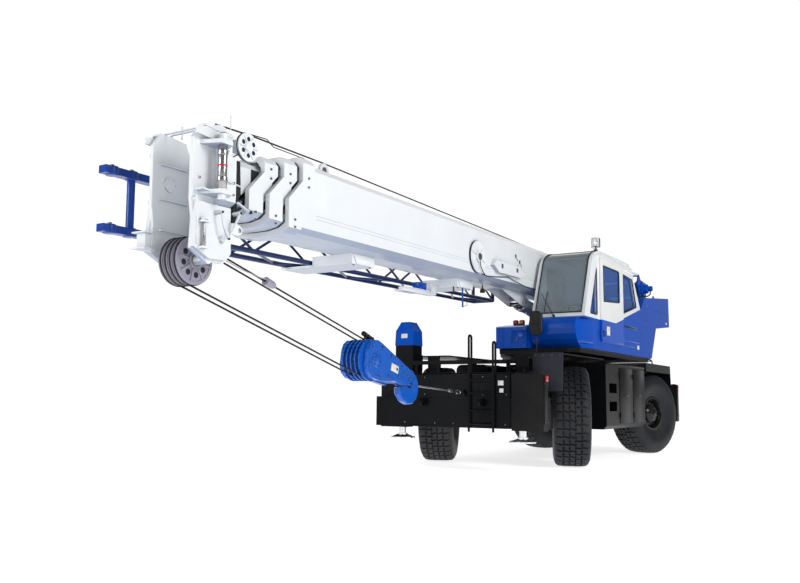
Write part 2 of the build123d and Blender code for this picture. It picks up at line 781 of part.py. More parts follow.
def cab_glass():
    """Panes of the curved windscreen, quarter light, side, rear and right windows."""
    def pane_y(outline, y0):
        return side_outline(outline, y0, y0 + glass_thick)
    side = house_side - cab_wall - glass_thick - 0.3
    shape = pane_y([(-490, 2520), (-900, 2520), (-900, 3440)], side)
    shape += pane_y([(-2410, 2680), (-3360, 2890), (-3085, 3460), (-2410, 3490)], side)
    shape += pane_y([(-870, 2590), (-1830, 2590), (-1830, 3430), (-870, 3430)], house_inner + cab_wall + 0.3)
    low = screen_low + wear_gap
    band = [(screen_x(low, -4), low)] + roof_bend(-4) + roof_bend(-4 - glass_thick)[::-1] + [(screen_x(low, -4 - glass_thick), low)]
    edge = screen_margin + wear_gap
    shape += side_outline(band, house_inner + edge, house_side - edge)
    z0 = rear_light[0] + wear_gap
    z1 = rear_light[1] - wear_gap
    lean = 440 / (3480 - belt_at(-3590))
    rear = [(-3150 - (3480 - z) * lean + inset, z) for z, inset in ((z0, 18), (z1, 18), (z1, 30), (z0, 30))]
    shape += side_outline(rear, house_inner + rear_margin + wear_gap, house_side - rear_margin - wear_gap)
    return shape


def cab_door():
    """Sliding door outside the left wall, with its window cut and a guide shoe."""
    y0 = house_side + door_gap
    panel = side_outline([(door_front, door_bottom), (door_front, door_top), (door_rear, door_top),
                          (door_rear, door_bottom)], y0, y0 + door_thick)
    panel = fillet(panel.edges().filter_by(Axis.Y), 30)
    return panel - side_outline(door_window(0), y0 - 10, y0 + door_thick + 10)


def door_window(grow):
    return [(-1130 + grow, 2790 - grow), (-1130 + grow, 3450 + grow), (-2080 - grow, 3460 + grow),
            (-2080 - grow, 2860 - grow)]


def door_glass():
    y0 = house_side + door_gap + door_thick / 2
    return side_outline(door_window(-0.2), y0 - glass_thick / 2, y0 + glass_thick / 2)


def cab_interior():
    """Seat on its pedestal, the two lever consoles and the steering column."""
    y = (house_inner + house_side) / 2
    z = cab_floor
    pedestal = block(-2250, -1850, y - 180, y + 180, z, z + 300)
    cushion = fillet(block(-2330, -1800, y - 250, y + 250, z + 300, z + 430).edges(), 40)
    back = side_outline([(-2250, z + 400), (-2370, z + 400), (-2520, z + 1120), (-2420, z + 1130)], y - 240, y + 240)
    consoles = block(-2200, -1650, y - 400, y - 280, z, z + 560) + block(-2200, -1650, y + 280, y + 400, z, z + 560)
    column = rod((-1060, y, z + 15), (-1300, y, z + 680), 35) + block(-1115, -1005, y - 55, y + 55, z, z + 30)
    axis = Vector(-250, 0, 680)
    hoop = Plane(origin=(-1300, y, z + 680), z_dir=axis) * Torus(190, 16)
    spoke = Plane(origin=(-1300, y, z + 680), z_dir=axis) * Box(380, 36, 14)
    dash = side_outline([(-700, z), (-700, z + 420), (-820, z + 560), (-1000, z + 560), (-1020, z + 480),
                         (-860, z + 400), (-860, z)], y - 380, y + 380)
    return pedestal + cushion + back + consoles + column + hoop + spoke + dash


def cab_fittings():
    """Work lamp on the roof frame, mirror on its stay and the two lamps on the nose."""
    x = cab_front - screen_run + 145
    y = house_side - screen_margin / 2
    z = cab_roof
    lamp = block(x - 35, x + 35, y - 70, y + 70, z + 60, z + 215)
    lamp = fillet(lamp.edges().filter_by(Axis.X), 18)
    lamp += post(x, y, 12, z - 20, z + 70) + block(x - 50, x + 50, y - 24, y + 24, z - 60, z + 6)
    lamp -= side_outline(cab_outline(0), house_inner, house_side)
    stay_z = base_plate_top - 40
    low = stay_z - mirror_stay_drop
    stay = bent_bar([(-130, mirror_y - 90, stay_z), (30, mirror_y - 90, low), (30, mirror_y, low),
                     (30, mirror_y, mirror_z)], 30, 11)
    stay -= block(-400, -120, -110, 1120, base_plate_bottom, base_plate_top)
    mirror = block(22, 74, mirror_y - mirror_width / 2, mirror_y + mirror_width / 2,
                   mirror_z - mirror_height / 2, mirror_z + mirror_height / 2)
    mirror = fillet(mirror.edges().filter_by(Axis.X), mirror_width * 0.42)
    mirror = chamfer(mirror.faces().sort_by(Axis.X)[-1].edges(), 14)
    lamps = cross_bar(-280, 2405, 40, 95, 170) + cross_bar(-280, 2405, 40, 212, 287)
    lamps += block(-310, -250, 95, 287, 2320, 2385) - nose()
    return lamp + (stay + mirror) + lamps


def carrier_lamps():
    """Lamp clusters under the front mudguard on the left and at the rear corners."""
    front = block(1052, 1100, 980, 1250, 1215, 1385)
    for y in (1010, 1100, 1200):
        front += rod((1090, y, 1300), (1150, y, 1300), 44)
    rear = block(tail_lamp_x, tail_lamp_x + 40, 1120, 1400, 1500, 1640)
    for y in (1180, 1290, 1360):
        rear += rod((tail_lamp_x + 5, y, 1570), (tail_lamp_x - 35, y, 1570), 32)
    rear += block(tail_lamp_x + 30, -5618, 1240, 1280, 1520, 1560)
    return front + both_sides(rear) - mudguards()


# Boom

def boom_place(shape):
    """Boom pieces are made along X from the pivot, then laid to the angle at rest."""
    return Pos(pivot_x, 0, pivot_z) * Rot(0, -boom_rest, 0) * shape


def section_points(width, height):
    """Cross-section of a boom tube as (y, z) points, flat web and a keeled bottom."""
    half = width / 2
    top = boom_centre_w + height / 2
    low = boom_centre_w - height / 2
    right = [(half - 55, top), (half, top - 70), (half, low + keel_drop), (half * 0.78, low + keel_drop / 3), (half * 0.36, low)]
    left = [(-y, z) for y, z in reversed(right)]
    return right + left


def collar_outline(front, length, tall):
    """Side outline of a collar: its lower half stands further ahead."""
    high = boom_centre_w + tall
    low = boom_centre_w - tall
    step_top = boom_centre_w + 170
    step_low = boom_centre_w - 60
    return [
        (front, high), (front, step_top), (front + collar_depth, step_low), (front + collar_depth, low),
        (front + collar_depth - length, low), (front + collar_depth - length, step_low),
        (front - length, step_top), (front - length, high),
    ]


def boom_tube(width, height, start, front):
    """One telescope section: tube and stepped front collar."""
    outer = front_outline(section_points(width, height), start, front + collar_depth)
    swollen = front_outline(section_points(width + 2 * collar_swell, height + 2 * collar_swell),
                            front - collar_depth, front + collar_depth)
    ahead = side_outline([(front, 900), (front, boom_centre_w + 170), (front + collar_depth, boom_centre_w - 60),
                          (front + collar_depth, -900), (front + 900, -900), (front + 900, 900)], -900, 900)
    collar = swollen & side_outline(collar_outline(front, 215, 600), -900, 900)
    bore = front_outline(section_points(width - 2 * boom_wall, height - 2 * boom_wall), start - 50, front + 900)
    return outer + collar - ahead - bore


def wear_pads(section, inner):
    """Pads between a section's tube and the next one's, below and above."""
    name, width, height, start, front = section
    inner_name, inner_width, inner_height, inner_start, inner_front = inner
    low_out = boom_centre_w - height / 2 + boom_wall
    low_in = boom_centre_w - inner_height / 2 - wear_gap
    pad = block(front - 260, front - 60, -inner_width * 0.15, inner_width * 0.15, low_out, low_in)
    high_out = boom_centre_w + height / 2 - boom_wall
    high_in = boom_centre_w + inner_height / 2 + wear_gap
    pad += block(front - 260, front - 60, -inner_width * 0.3, inner_width * 0.3, high_in, high_out)
    return pad


def base_boom():
    shape = boom_tube(*boom_sections[0][1:])
    bore = cross_bar(0, 0, pivot_pin_r + bearing_gap, -600, 600)
    boss = cross_bar(0, 0, 150, boom_sections[0][1] / 2 - 2, cheek_inner - 5)
    shape = shape + both_sides(boss) + wear_pads(boom_sections[0], boom_sections[1])
    ear_low = lift_pin_w - 90
    ear_top = boom_centre_w - boom_sections[0][2] / 2 + boom_wall / 2
    ear = side_outline([(lift_pin_u - 125, ear_top), (lift_pin_u - 105, ear_low + 30), (lift_pin_u - 60, ear_low),
                        (lift_pin_u + 60, ear_low), (lift_pin_u + 960, ear_top)], 112, 134)
    ear += cross_bar(lift_pin_u, lift_pin_w, lift_pin_r, 133, 146)
    return shape + both_sides(ear) - bore


def telescope(index):
    shape = boom_tube(*boom_sections[index][1:])
    if index + 1 < len(boom_sections):
        shape += wear_pads(boom_sections[index], boom_sections[index + 1])
    return shape


def top_section():
    name, width, height, start, front = boom_sections[3]
    outer = front_outline(section_points(width, height), start, front)
    bore = front_outline(section_points(width - 2 * boom_wall, height - 2 * boom_wall), start - 50, front + 50)
    return outer - bore


def boom_head():
    """Two cheeks round the sheave nest, jib pin lugs on both sides, top fins, front bracket and rope guide."""
    front = boom_sections[3][4]
    out = head_half
    inside = out - 150
    cheek = side_outline([(front, 440), (front + 60, 560), (front + 420, 600), (front + 500, 480), (front + 500, -120),
                          (front + 470, -300), (front + 490, -590), (front + 300, -700), (front + 60, -690),
                          (front - 20, -600), (front, -250)], inside, out - 110)
    web = block(front, front + 12, -inside, inside, -500, 470)
    shape = both_sides(cheek) + web
    box = side_outline([(front + 20, -140), (front + 470, -140), (front + 500, -580), (front + 300, -672), (front + 70, -664),
                        (front + 6, -590)], out - 112, out - 62)
    shape += both_sides(box)
    skin = front_outline([(out - 110, 440), (out, 400), (out, -90), (out - 110, -150)], front + 20, front + 200)
    shape += both_sides(skin)
    low, high = jib_pin_free
    for z0, z1 in ((high, high + jib_lug_thick), (low - jib_lug_thick, low)):
        lug = plan_outline([(front + 60, out - 120), (front + 180, out + 100), (front + 330, out + 100),
                            (front + 420, out - 120)], z0, z1)
        shape += both_sides(lug)
    pin = post(front + jib_pin_ahead, jib_pin_y, jib_pin_r, low - jib_lug_thick - 50, high + jib_lug_thick + jib_pin_end)
    shape += both_sides(pin)
    shape += cross_bar(head_sheave_u, head_sheave_w, 45, -out + 100, out - 100)
    fin = side_outline([(front + 60, 470), (front + 30, 590), (front + 200, 660), (front + 240, 640), (front + 520, 560),
                        (front + 520, 500)], out - 60, out - 36)
    deck = side_outline([(front + 60, 560), (front + 60, 590), (front + 420, 620), (front + 420, 596)], inside, out - 30)
    shape += both_sides(fin + deck)
    # eye at the rear of the left cheek and the flanged bracket ahead of the right one
    eye = side_outline([(front + 40, -290), (front + 40, -400), (front - 70, -400), (front - 115, -375), (front - 125, -335),
                        (front - 95, -300), (front - 30, -280)], out - 62, out - 34)
    shape += eye - cross_bar(front - 85, -345, 24, out - 100, out)
    spool_y = -out + 70
    arm = block(front + 480, front + spool_reach, spool_y - 60, spool_y + 60, spool_w + 14, spool_w + 156)
    for z in (spool_w, spool_w + 156):
        arm += block(front + 440, front + spool_reach + 40, spool_y - 90, spool_y + 90, z, z + 14)
    shape += arm & block(front, front + spool_reach + 40, -out - 100, 0, -900, 900)
    guide = cross_bar(front - 110, 500, guide_sheave_r, out - 10, out + 34)
    guide += cross_bar(front - 110, 500, 55, out - 40, out + 44)
    plate = side_outline([(front + 20, 380), (front + 20, 560), (front - 110, 560), (front - 170, 500), (front - 110, 440)],
                         out - 60, out - 38)
    return shape + guide + plate


def head_sheaves():
    """Lower sheave nest on its pin, about the sheave axis."""
    shape = None
    for k in range(sheave_count):
        y = (k - (sheave_count - 1) / 2) * sheave_pitch
        wheel = cross_bar(head_sheave_u, head_sheave_w, head_sheave_r, y - sheave_thick / 2, y + sheave_thick / 2)
        shape = wheel if shape is None else shape + wheel
    span = (sheave_count - 1) * sheave_pitch / 2 + sheave_thick / 2
    shape += cross_bar(head_sheave_u, head_sheave_w, 80, -span - 25, span + 25)
    return shape - cross_bar(head_sheave_u, head_sheave_w, 45 + bearing_gap, -400, 400)


def falls_place(shape):
    """Pieces on the falls are made along X from the head sheave axis, rope direction +X."""
    local = Rot(0, 180 + falls_angle, 0) * shape
    return boom_place(Pos(head_sheave_u, 0, head_sheave_w) * local)


def hook_block():
    """Sheaves with guard plates between them, two teardrop cheeks and the block that holds the hook, along the falls."""
    x = falls_length
    shape = None
    for k in range(sheave_count):
        y = (k - (sheave_count - 1) / 2) * sheave_pitch
        wheel = cross_bar(x, 20, head_sheave_r, y - sheave_thick / 2, y + sheave_thick / 2)
        shape = wheel if shape is None else shape + wheel
    for k in range(sheave_count + 1):
        y = (k - sheave_count / 2) * sheave_pitch
        shape += cross_bar(x, 20, block_guard_r, y - 8, y + 8)
    shape += cross_bar(x, 20, 70, -block_cheek_out - 12, block_cheek_out + 12)
    cheek = [(x - 190, -60), (x - 170, -150), (x - 110, -215), (x - 20, -240), (x + 90, -228), (x + 880, -95), (x + 920, -30),
             (x + 900, 60), (x + 820, 120), (x + 500, 150), (x + 140, 245), (x - 20, 255), (x - 120, 215), (x - 175, 130)]
    shape += both_sides(side_outline(cheek, block_cheek_in, block_cheek_out))
    web = [(x + 120, -205), (x + 860, -80), (x + 880, 0), (x + 860, 75), (x + 780, 105), (x + 480, 140), (x + 120, 235)]
    shape += side_outline(web, -block_cheek_in - 5, block_cheek_in + 5)
    return shape - rod((x + 700, 0, 0), (x + 1100, 0, 0), hook_shank_r + wear_gap)


def hook():
    """Forged hook with a round bowl, turning on its shank below the block."""
    x = falls_length
    middle = x + hook_reach - 80
    shank = rod((x + 700 + wear_gap, 0, 0), (middle - 160, 0, 0), hook_shank_r)
    lobe = [(middle - 240, -95), (middle - 130, -165), (middle + 30, -190), (middle + 160, -150), (middle + 245, -60),
            (middle + 270, 50), (middle + 250, 165), (middle + 170, 250), (middle + 50, 290), (middle - 90, 280),
            (middle - 205, 215), (middle - 245, 110)]
    body = side_outline(lobe, -hook_thick / 2, hook_thick / 2)
    body = chamfer(body.edges().filter_by(Axis.Y, reverse=True), 16)
    bowl = cross_bar(middle, hook_bowl_w + 20, hook_bowl_r, -hook_thick, hook_thick)
    mouth = side_outline([(middle - 10, 10), (middle - 60, 66), (middle - 400, 190), (middle - 400, 100)], -hook_thick, hook_thick)
    return shank + body - bowl - mouth


# Lift cylinder

def lift_line():
    """Angle at rest of the lift cylinder and the distance between its pins."""
    turn = radians(boom_rest)
    x = pivot_x + lift_pin_u * cos(turn) - lift_pin_w * sin(turn)
    z = pivot_z + lift_pin_u * sin(turn) + lift_pin_w * cos(turn)
    dx = x - lift_foot[0]
    dz = z - lift_foot[1]
    return degrees(atan2(dz, dx)), hypot(dx, dz)


def lift_place(shape):
    angle = lift_line()[0]
    return Pos(lift_foot[0], 0, lift_foot[1]) * Rot(0, -angle, 0) * shape


def lift_barrel():
    barrel = rod((60, 0, 0), (lift_barrel_length, 0, 0), lift_barrel_r)
    barrel += rod((lift_barrel_length - 130, 0, 0), (lift_barrel_length, 0, 0), lift_barrel_r + 12)
    eye = cross_bar(0, 0, lift_eye_r, -140, 140)
    shape = barrel + eye
    shape -= cross_bar(0, 0, lift_pin_r + bearing_gap, -300, 300)
    return shape - rod((230, 0, 0), (lift_barrel_length + 50, 0, 0), lift_rod_r + bearing_gap)


def lift_rod():
    length = lift_line()[1]
    bar = rod((240, 0, 0), (length - 60, 0, 0), lift_rod_r)
    eye = cross_bar(length, 0, lift_eye_r - 12, -105, 105)
    return bar + eye


# Jib stowed along the right of the boom

def jib():
    """Lattice beside the boom with its forked foot beside the head."""
    tail, neck = jib_tail, jib_neck
    y_in, y_out = jib_inner, jib_outer
    z_low, z_high = jib_low, jib_high
    chord = jib_chord_r
    lace = 17.0
    shape = None
    for y in (y_in, y_out):
        for z in (z_low, z_high):
            bar = rod((tail, y, z), (neck, y, z), chord)
            shape = bar if shape is None else shape + bar
    bays = 9
    step = (neck - tail) / bays
    for k in range(bays):
        u0 = tail + k * step
        u1 = u0 + step
        z0, z1 = (z_low, z_high) if k % 2 == 0 else (z_high, z_low)
        for y in (y_in, y_out):
            shape += rod((u0, y, z0), (u1, y, z1), lace)
        y0, y1 = (y_in, y_out) if k % 2 == 0 else (y_out, y_in)
        for z in (z_low, z_high):
            shape += rod((u0, y0, z), (u1, y1, z), lace)
    for u in (tail, neck):
        for z in (z_low, z_high):
            shape += rod((u, y_in, z), (u, y_out, z), chord)
        for y in (y_in, y_out):
            shape += rod((u, y, z_low), (u, y, z_high), chord)
    tilt = radians(-boom_rest)
    foot_end = (reach_ahead - pivot_x - (z_high + 160) * sin(tilt)) / cos(tilt)
    for z in (z_low, z_high + 120):
        arm = block(neck - 20, foot_end, y_out + 40, y_out + 150, z - 40, z + 40)
        shape += arm
        shape += rod((neck, y_in, min(z, z_high)), (neck + 320, y_out + 95, z), 40)
    for u, r in ((11010, 55), (11350, 42)):
        shape += rod((u, y_out + 95, z_low), (u, y_out + 95, z_high + 120), r)
    return shape


def boom_fittings():
    """Cable reel, tool box, rope roller and the brackets that hold the stowed jib."""
    half = boom_sections[0][1] / 2
    reel = cross_bar(5760, 100, 250, half, half + 30)
    reel += cross_bar(5760, 100, 90, half + 30, half + 60)
    tool = side_outline([(4050, -30), (4050, 60), (4210, 130), (5150, 130), (5250, 40), (5070, -60), (4210, -60)],
                        half, half + 66)
    top = boom_centre_w + boom_sections[0][2] / 2
    roller = block(9460, 9510, -60, 60, top, top + 70) + cross_bar(9485, top + 70, 45, -55, 55)
    low = boom_centre_w - boom_sections[0][2] / 2
    shape = reel + tool + roller
    for u0, u1 in ((8210, 8720), (5370, 5900)):
        shape += block(u0, u1, jib_outer - 40, half * 0.3, low - 130, jib_low - jib_chord_r - wear_gap)
        shape += block(u0, u1, jib_inner + jib_chord_r + 20, half * 0.3, low - 130, low)
        shape += block(u0, u1, jib_outer - 70, jib_outer - 40, low - 130, jib_low + 40)
    return shape


# Every piece by its file name

def pieces():
    parts = {
        "carrier_frame": carrier_frame(),
        "front_outrigger_box": Pos(box_x["front"], 0, 0) * (outrigger_box() + tow_lugs()),
        "rear_outrigger_box": Pos(box_x["rear"], 0, 0) * (outrigger_box() + Rot(0, 0, 180) * tow_lugs()),
        "front_deck": front_deck(),
        "mudguards": mudguards(),
        "side_boxes": side_boxes(),
        "carrier_lamps": carrier_lamps(),
        "front_axle": axle_housing("front"),
        "rear_axle": axle_housing("rear"),
        "engine": engine(),
        "engine_hood": engine_hood(),
        "drive_line": drive_line(),
        "slew_ring": slew_ring(),
        "ladder": ladder(),
        "intake_post": intake_post(),
        "intake_cap": intake_cap(),
        "turntable": turntable(),
        "boom_cheeks": boom_cheeks(),
        "house": house(),
        "counterweight": counterweight(),
        "winches": winches(),
        "cab_shell": cab_shell(),
        "cab_glass": cab_glass(),
        "cab_door": cab_door(),
        "door_glass": door_glass(),
        "cab_interior": cab_interior(),
        "cab_fittings": cab_fittings(),
        "base_boom": boom_place(base_boom()),
        "boom_fittings": boom_place(boom_fittings()),
        "second_section": boom_place(telescope(1)),
        "third_section": boom_place(telescope(2)),
        "top_section": boom_place(top_section()),
        "boom_head": boom_place(boom_head()),
        "head_sheaves": boom_place(head_sheaves()),
        "hook_block": falls_place(hook_block()),
        "hook": falls_place(hook()),
        "lift_barrel": lift_place(lift_barrel()),
        "lift_rod": lift_place(lift_rod()),
        "jib": boom_place(jib()),
    }
    for axle in ("front", "rear"):
        for side, word in ((1, "left"), (-1, "right")):
            corner = axle + "_" + word
            parts["knuckle_" + corner] = on_kingpin(knuckle(), axle, side)
            parts["rim_" + corner] = on_wheel(rim(), axle, side)
            parts["tyre_" + corner] = on_wheel(tyre(), axle, side)
            parts["beam_" + corner] = at_corner(outrigger_beam(), axle, side)
            parts["jack_" + corner] = at_corner(outrigger_jack(), axle, side)
    return parts


middle_x = (reach_ahead - reach_behind) / 2

if __name__ == "__main__":
    os.makedirs("parts", exist_ok=True)
    for name, shape in pieces().items():
        export_step(Pos(-middle_x, 0, 0) * shape, "parts/" + name + ".step")
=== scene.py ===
from math import cos, pi, radians, sin

import bmesh
import bpy
from mathutils import Matrix, Vector


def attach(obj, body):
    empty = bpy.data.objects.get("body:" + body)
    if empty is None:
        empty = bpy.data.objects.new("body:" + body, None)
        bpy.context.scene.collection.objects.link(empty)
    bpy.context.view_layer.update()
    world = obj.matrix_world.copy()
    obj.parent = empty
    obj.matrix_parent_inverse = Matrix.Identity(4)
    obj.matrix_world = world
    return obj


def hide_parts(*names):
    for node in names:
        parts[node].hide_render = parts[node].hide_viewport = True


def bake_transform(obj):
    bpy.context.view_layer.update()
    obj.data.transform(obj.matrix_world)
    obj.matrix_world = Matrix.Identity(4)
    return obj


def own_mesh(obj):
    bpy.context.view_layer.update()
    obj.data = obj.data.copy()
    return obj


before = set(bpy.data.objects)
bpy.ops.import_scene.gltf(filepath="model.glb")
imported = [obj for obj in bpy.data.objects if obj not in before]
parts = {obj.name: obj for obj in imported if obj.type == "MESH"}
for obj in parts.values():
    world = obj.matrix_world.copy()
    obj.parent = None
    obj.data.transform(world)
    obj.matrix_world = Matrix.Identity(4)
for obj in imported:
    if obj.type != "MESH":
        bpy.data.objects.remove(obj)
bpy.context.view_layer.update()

# Studio: a pale floor that runs out to white paper behind the crane, a dimmer room all round, a
# large soft key light from the left and a fill from ahead. The camera stands ahead and to the left
# of the crane, about waist high, and looks slightly upwards.
front_axle = -0.485
camera_at = Vector((13.0 + front_axle, 5.93, 1.07))
yaw, pitch, roll = radians(211.66), radians(7.4), radians(0.59)
forward = Vector((cos(pitch) * cos(yaw), cos(pitch) * sin(yaw), sin(pitch)))
side = forward.cross(Vector((0, 0, 1))).normalized()
upward = side.cross(forward)
right = side * cos(roll) + upward * sin(roll)
top = upward * cos(roll) - side * sin(roll)
turn = Matrix((right, top, -forward)).transposed().to_4x4()
camera_data = bpy.data.cameras.new("camera")
camera_data.sensor_width = 36.0
camera_data.lens = 36.99
camera_data.clip_end = 500.0
camera = bpy.data.objects.new("camera", camera_data)
camera.matrix_world = Matrix.Translation(camera_at) @ turn
bpy.context.scene.collection.objects.link(camera)
bpy.context.scene.camera = camera
bpy.context.scene.view_settings.view_transform = "Standard"

world = bpy.data.worlds.new("surround")
world.use_nodes = True
bpy.context.scene.world = world


def surround():
    """White paper behind the crane, and a dimmer room all round."""
    tree = world.node_tree
    place = tree.nodes.new("ShaderNodeTexCoord")
    along = tree.nodes.new("ShaderNodeVectorMath")
    along.operation = "DOT_PRODUCT"
    along.inputs[1].default_value = (cos(yaw), sin(yaw), 0.10)
    paper = tree.nodes.new("ShaderNodeMapRange")
    paper.interpolation_type = "SMOOTHSTEP"
    paper.inputs["From Min"].default_value = 0.72
    paper.inputs["From Max"].default_value = 0.83
    paper.inputs["To Min"].default_value = 0.20
    paper.inputs["To Max"].default_value = 1.06
    tree.links.new(place.outputs["Generated"], along.inputs[0])
    tree.links.new(along.outputs["Value"], paper.inputs["Value"])
    tree.links.new(paper.outputs["Result"], tree.nodes["Background"].inputs["Strength"])
    tree.nodes["Background"].inputs["Color"].default_value = (1.0, 1.0, 1.0, 1.0)


surround()


def soft_light(name, at, towards, size, power):
    """Square area light that shines from one place towards another."""
    lamp = bpy.data.lights.new(name, "AREA")
    lamp.shape = "SQUARE"
    lamp.size = size
    lamp.energy = power
    holder = bpy.data.objects.new(name, lamp)
    holder.location = at
    aim = Vector(towards) - Vector(at)
    holder.rotation_euler = aim.to_track_quat("-Z", "Y").to_euler()
    bpy.context.scene.collection.objects.link(holder)


soft_light("key_light", (5.0, 16.0, 9.0), (0.0, 0.0, 1.5), 7.0, 1550.0)
soft_light("front_fill", (20.0, -6.0, 7.0), (2.0, 0.0, 1.5), 5.0, 1000.0)


def floor_colour(material):
    """Pale floor paint with a very faint mottle."""
    tree = material.node_tree
    shader = tree.nodes["Principled BSDF"]
    shader.inputs["Roughness"].default_value = 0.75
    shader.inputs["Specular IOR Level"].default_value = 0.1
    shader.inputs["Emission Color"].default_value = (1.0, 1.0, 1.0, 1.0)
    shader.inputs["Emission Strength"].default_value = 0.74
    mottle = tree.nodes.new("ShaderNodeTexNoise")
    mottle.inputs["Scale"].default_value = 0.6
    ramp = tree.nodes.new("ShaderNodeValToRGB")
    ramp.color_ramp.elements[0].color = (0.90, 0.90, 0.90, 1)
    ramp.color_ramp.elements[1].color = (0.94, 0.94, 0.94, 1)
    place = tree.nodes.new("ShaderNodeTexCoord")
    tree.links.new(place.outputs["Object"], mottle.inputs["Vector"])
    tree.links.new(mottle.outputs["Fac"], ramp.inputs["Fac"])
    tree.links.new(ramp.outputs["Color"], shader.inputs["Base Color"])


floor_mesh = bpy.data.meshes.new("studio_floor")
reach = 150.0
floor_mesh.from_pydata([(-reach, -reach, -0.001), (reach, -reach, -0.001), (reach, reach, -0.001),
                        (-reach, reach, -0.001)], [], [(0, 1, 2, 3)])
floor_paint = bpy.data.materials.new("floor_paint")
floor_paint.use_nodes = True
floor_colour(floor_paint)
floor_mesh.materials.append(floor_paint)
studio_floor = bpy.data.objects.new("studio_floor", floor_mesh)
bpy.context.scene.collection.objects.link(studio_floor)


# Carrier frame: two deep welded side plates with cross members, widened into the seat of the
# slewing ring. It is black two-pack paint over shot-blasted steel, thinly dusted low down.
def circle(centre, across, up, radius, sides):
    """Points round a centre, in the plane of two directions."""
    return [centre + (across * cos(2 * pi * i / sides) + up * sin(2 * pi * i / sides)) * radius
            for i in range(sides)]


class Form:
    """The faces of one piece, in metres, with x counted from the front axle."""

    def __init__(self):
        self.points, self.faces, self.skins = [], [], []

    def add(self, points, faces, skin=0):
        first = len(self.points)
        self.points += [Vector(p) for p in points]
        self.faces += [tuple(first + i for i in f) for f in faces]
        self.skins += [skin] * len(faces)

    def prism(self, outline, axis, low, high, skin=0):
        """Outline of two numbers a point, in the plane across axis x, y or z, from low to high."""
        at = {"x": lambda p, h: (h, p[0], p[1]), "y": lambda p, h: (p[0], h, p[1]),
              "z": lambda p, h: (p[0], p[1], h)}[axis]
        n = len(outline)
        points = [at(p, low) for p in outline] + [at(p, high) for p in outline]
        faces = [tuple(range(n)), tuple(range(2 * n - 1, n - 1, -1))]
        faces += [(i, i + n, (i + 1) % n + n, (i + 1) % n) for i in range(n)]
        self.add(points, faces, skin)

    def box(self, x0, x1, y0, y1, z0, z1, skin=0):
        self.prism([(x0, y0), (x1, y0), (x1, y1), (x0, y1)], "z", z0, z1, skin)

    def rings(self, rings, skin=0, closed=False, capped=True):
        """Skin over a row of rings that have the same number of points."""
        n = len(rings[0])
        count = len(rings)
        faces = []
        for k in range(count if closed else count - 1):
            a, b = k * n, (k + 1) % count * n
            faces += [(a + i, a + (i + 1) % n, b + (i + 1) % n, b + i) for i in range(n)]
        if capped and not closed:
            faces += [tuple(range(n - 1, -1, -1)), tuple(range((count - 1) * n, count * n))]
        self.add([p for ring in rings for p in ring], faces, skin)

    def rod(self, start, end, radius, sides=16, end_radius=None, skin=0):
        self.tube([start, end], radius, sides, skin, end_radius)

    def tube(self, path, radius, sides=10, skin=0, end_radius=None, closed=False):
        """Round bar or hose along a path."""
        path = [Vector(p) for p in path]
        rings, across = [], None
        last = len(path) - 1
        for k, point in enumerate(path):
            before = path[k - 1] if k or closed else point
            after = path[(k + 1) % len(path)] if k < last or closed else point
            along = (after - before).normalized()
            if across is None:
                across = along.orthogonal().normalized()
            across = (across - along * across.dot(along)).normalized()
            up = along.cross(across)
            r = radius if end_radius is None else radius + (end_radius - radius) * k / last
            rings.append(circle(point, across, up, r, sides))
        self.rings(rings, skin, closed)

    def lathe(self, profile, centre, axis, sides=32, skin=0, closed=False):
        """Profile of (radius, way along the axis) turned about the axis."""
        axis = Vector(axis).normalized()
        across = axis.orthogonal().normalized()
        up = axis.cross(across)
        rings = [circle(Vector(centre) + axis * a, across, up, r, sides) for r, a in profile]
        self.rings(rings, skin, closed)

    def bolts(self, places, out, radius=0.012, skin=0):
        """Hexagon heads that stand out of a face."""
        for place in places:
            place, lift = Vector(place), Vector(out).normalized() * radius * 0.9
            self.rod(place - lift * 0.2, place + lift, radius, 6, skin=skin)

    def both_sides(self):
        """Adds the mirror image of all faces so far across the middle of the crane."""
        n = len(self.points)
        faces = list(self.faces)
        self.points += [Vector((p.x, -p.y, p.z)) for p in self.points]
        self.faces += [tuple(n + i for i in reversed(f)) for f in faces]
        self.skins += list(self.skins)

    def piece(self, name, body, slot, skins, place=None, bevel=0.0, smooth=38.0):
        """Makes the object, moves it to its place and lets it ride on its body."""
        mesh = bpy.data.meshes.new(name)
        mesh.from_pydata([tuple(p) for p in self.points], [], self.faces)
        for skin in skins:
            mesh.materials.append(skin)
        mesh.polygons.foreach_set("material_index", self.skins)
        mesh.transform(on_carrier if place is None else place)
        work = bmesh.new()
        work.from_mesh(mesh)
        bmesh.ops.recalc_face_normals(work, faces=work.faces)
        work.to_mesh(mesh)
        work.free()
        thing = bpy.data.objects.new(name, mesh)
        bpy.context.scene.collection.objects.link(thing)
        if bevel:
            edge = thing.modifiers.new("rounded_edges", "BEVEL")
            edge.width = bevel
            edge.segments = 2
            edge.limit_method = "ANGLE"
            edge.angle_limit = radians(40)
            edge.harden_normals = False
            bpy.context.view_layer.update()
            solid = thing.evaluated_get(bpy.context.evaluated_depsgraph_get())
            rounded = bpy.data.meshes.new_from_object(solid)
            thing.modifiers.clear()
            thing.data = rounded
            mesh = rounded
            mesh.name = name
        mesh.polygons.foreach_set("use_smooth", [True] * len(mesh.polygons))
        mesh.set_sharp_from_angle(angle=radians(smooth))
        if body:
            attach(thing, body)
        return thing


on_carrier = Matrix.Translation((front_axle, 0, 0))


def split_of(tree, source="Object"):
    """X, Y and Z of a place, or of a normal, in a node tree."""
    place = tree.nodes.new("ShaderNodeTexCoord")
    apart = tree.nodes.new("ShaderNodeSeparateXYZ")
    tree.links.new(place.outputs[source], apart.inputs["Vector"])
    return apart.outputs


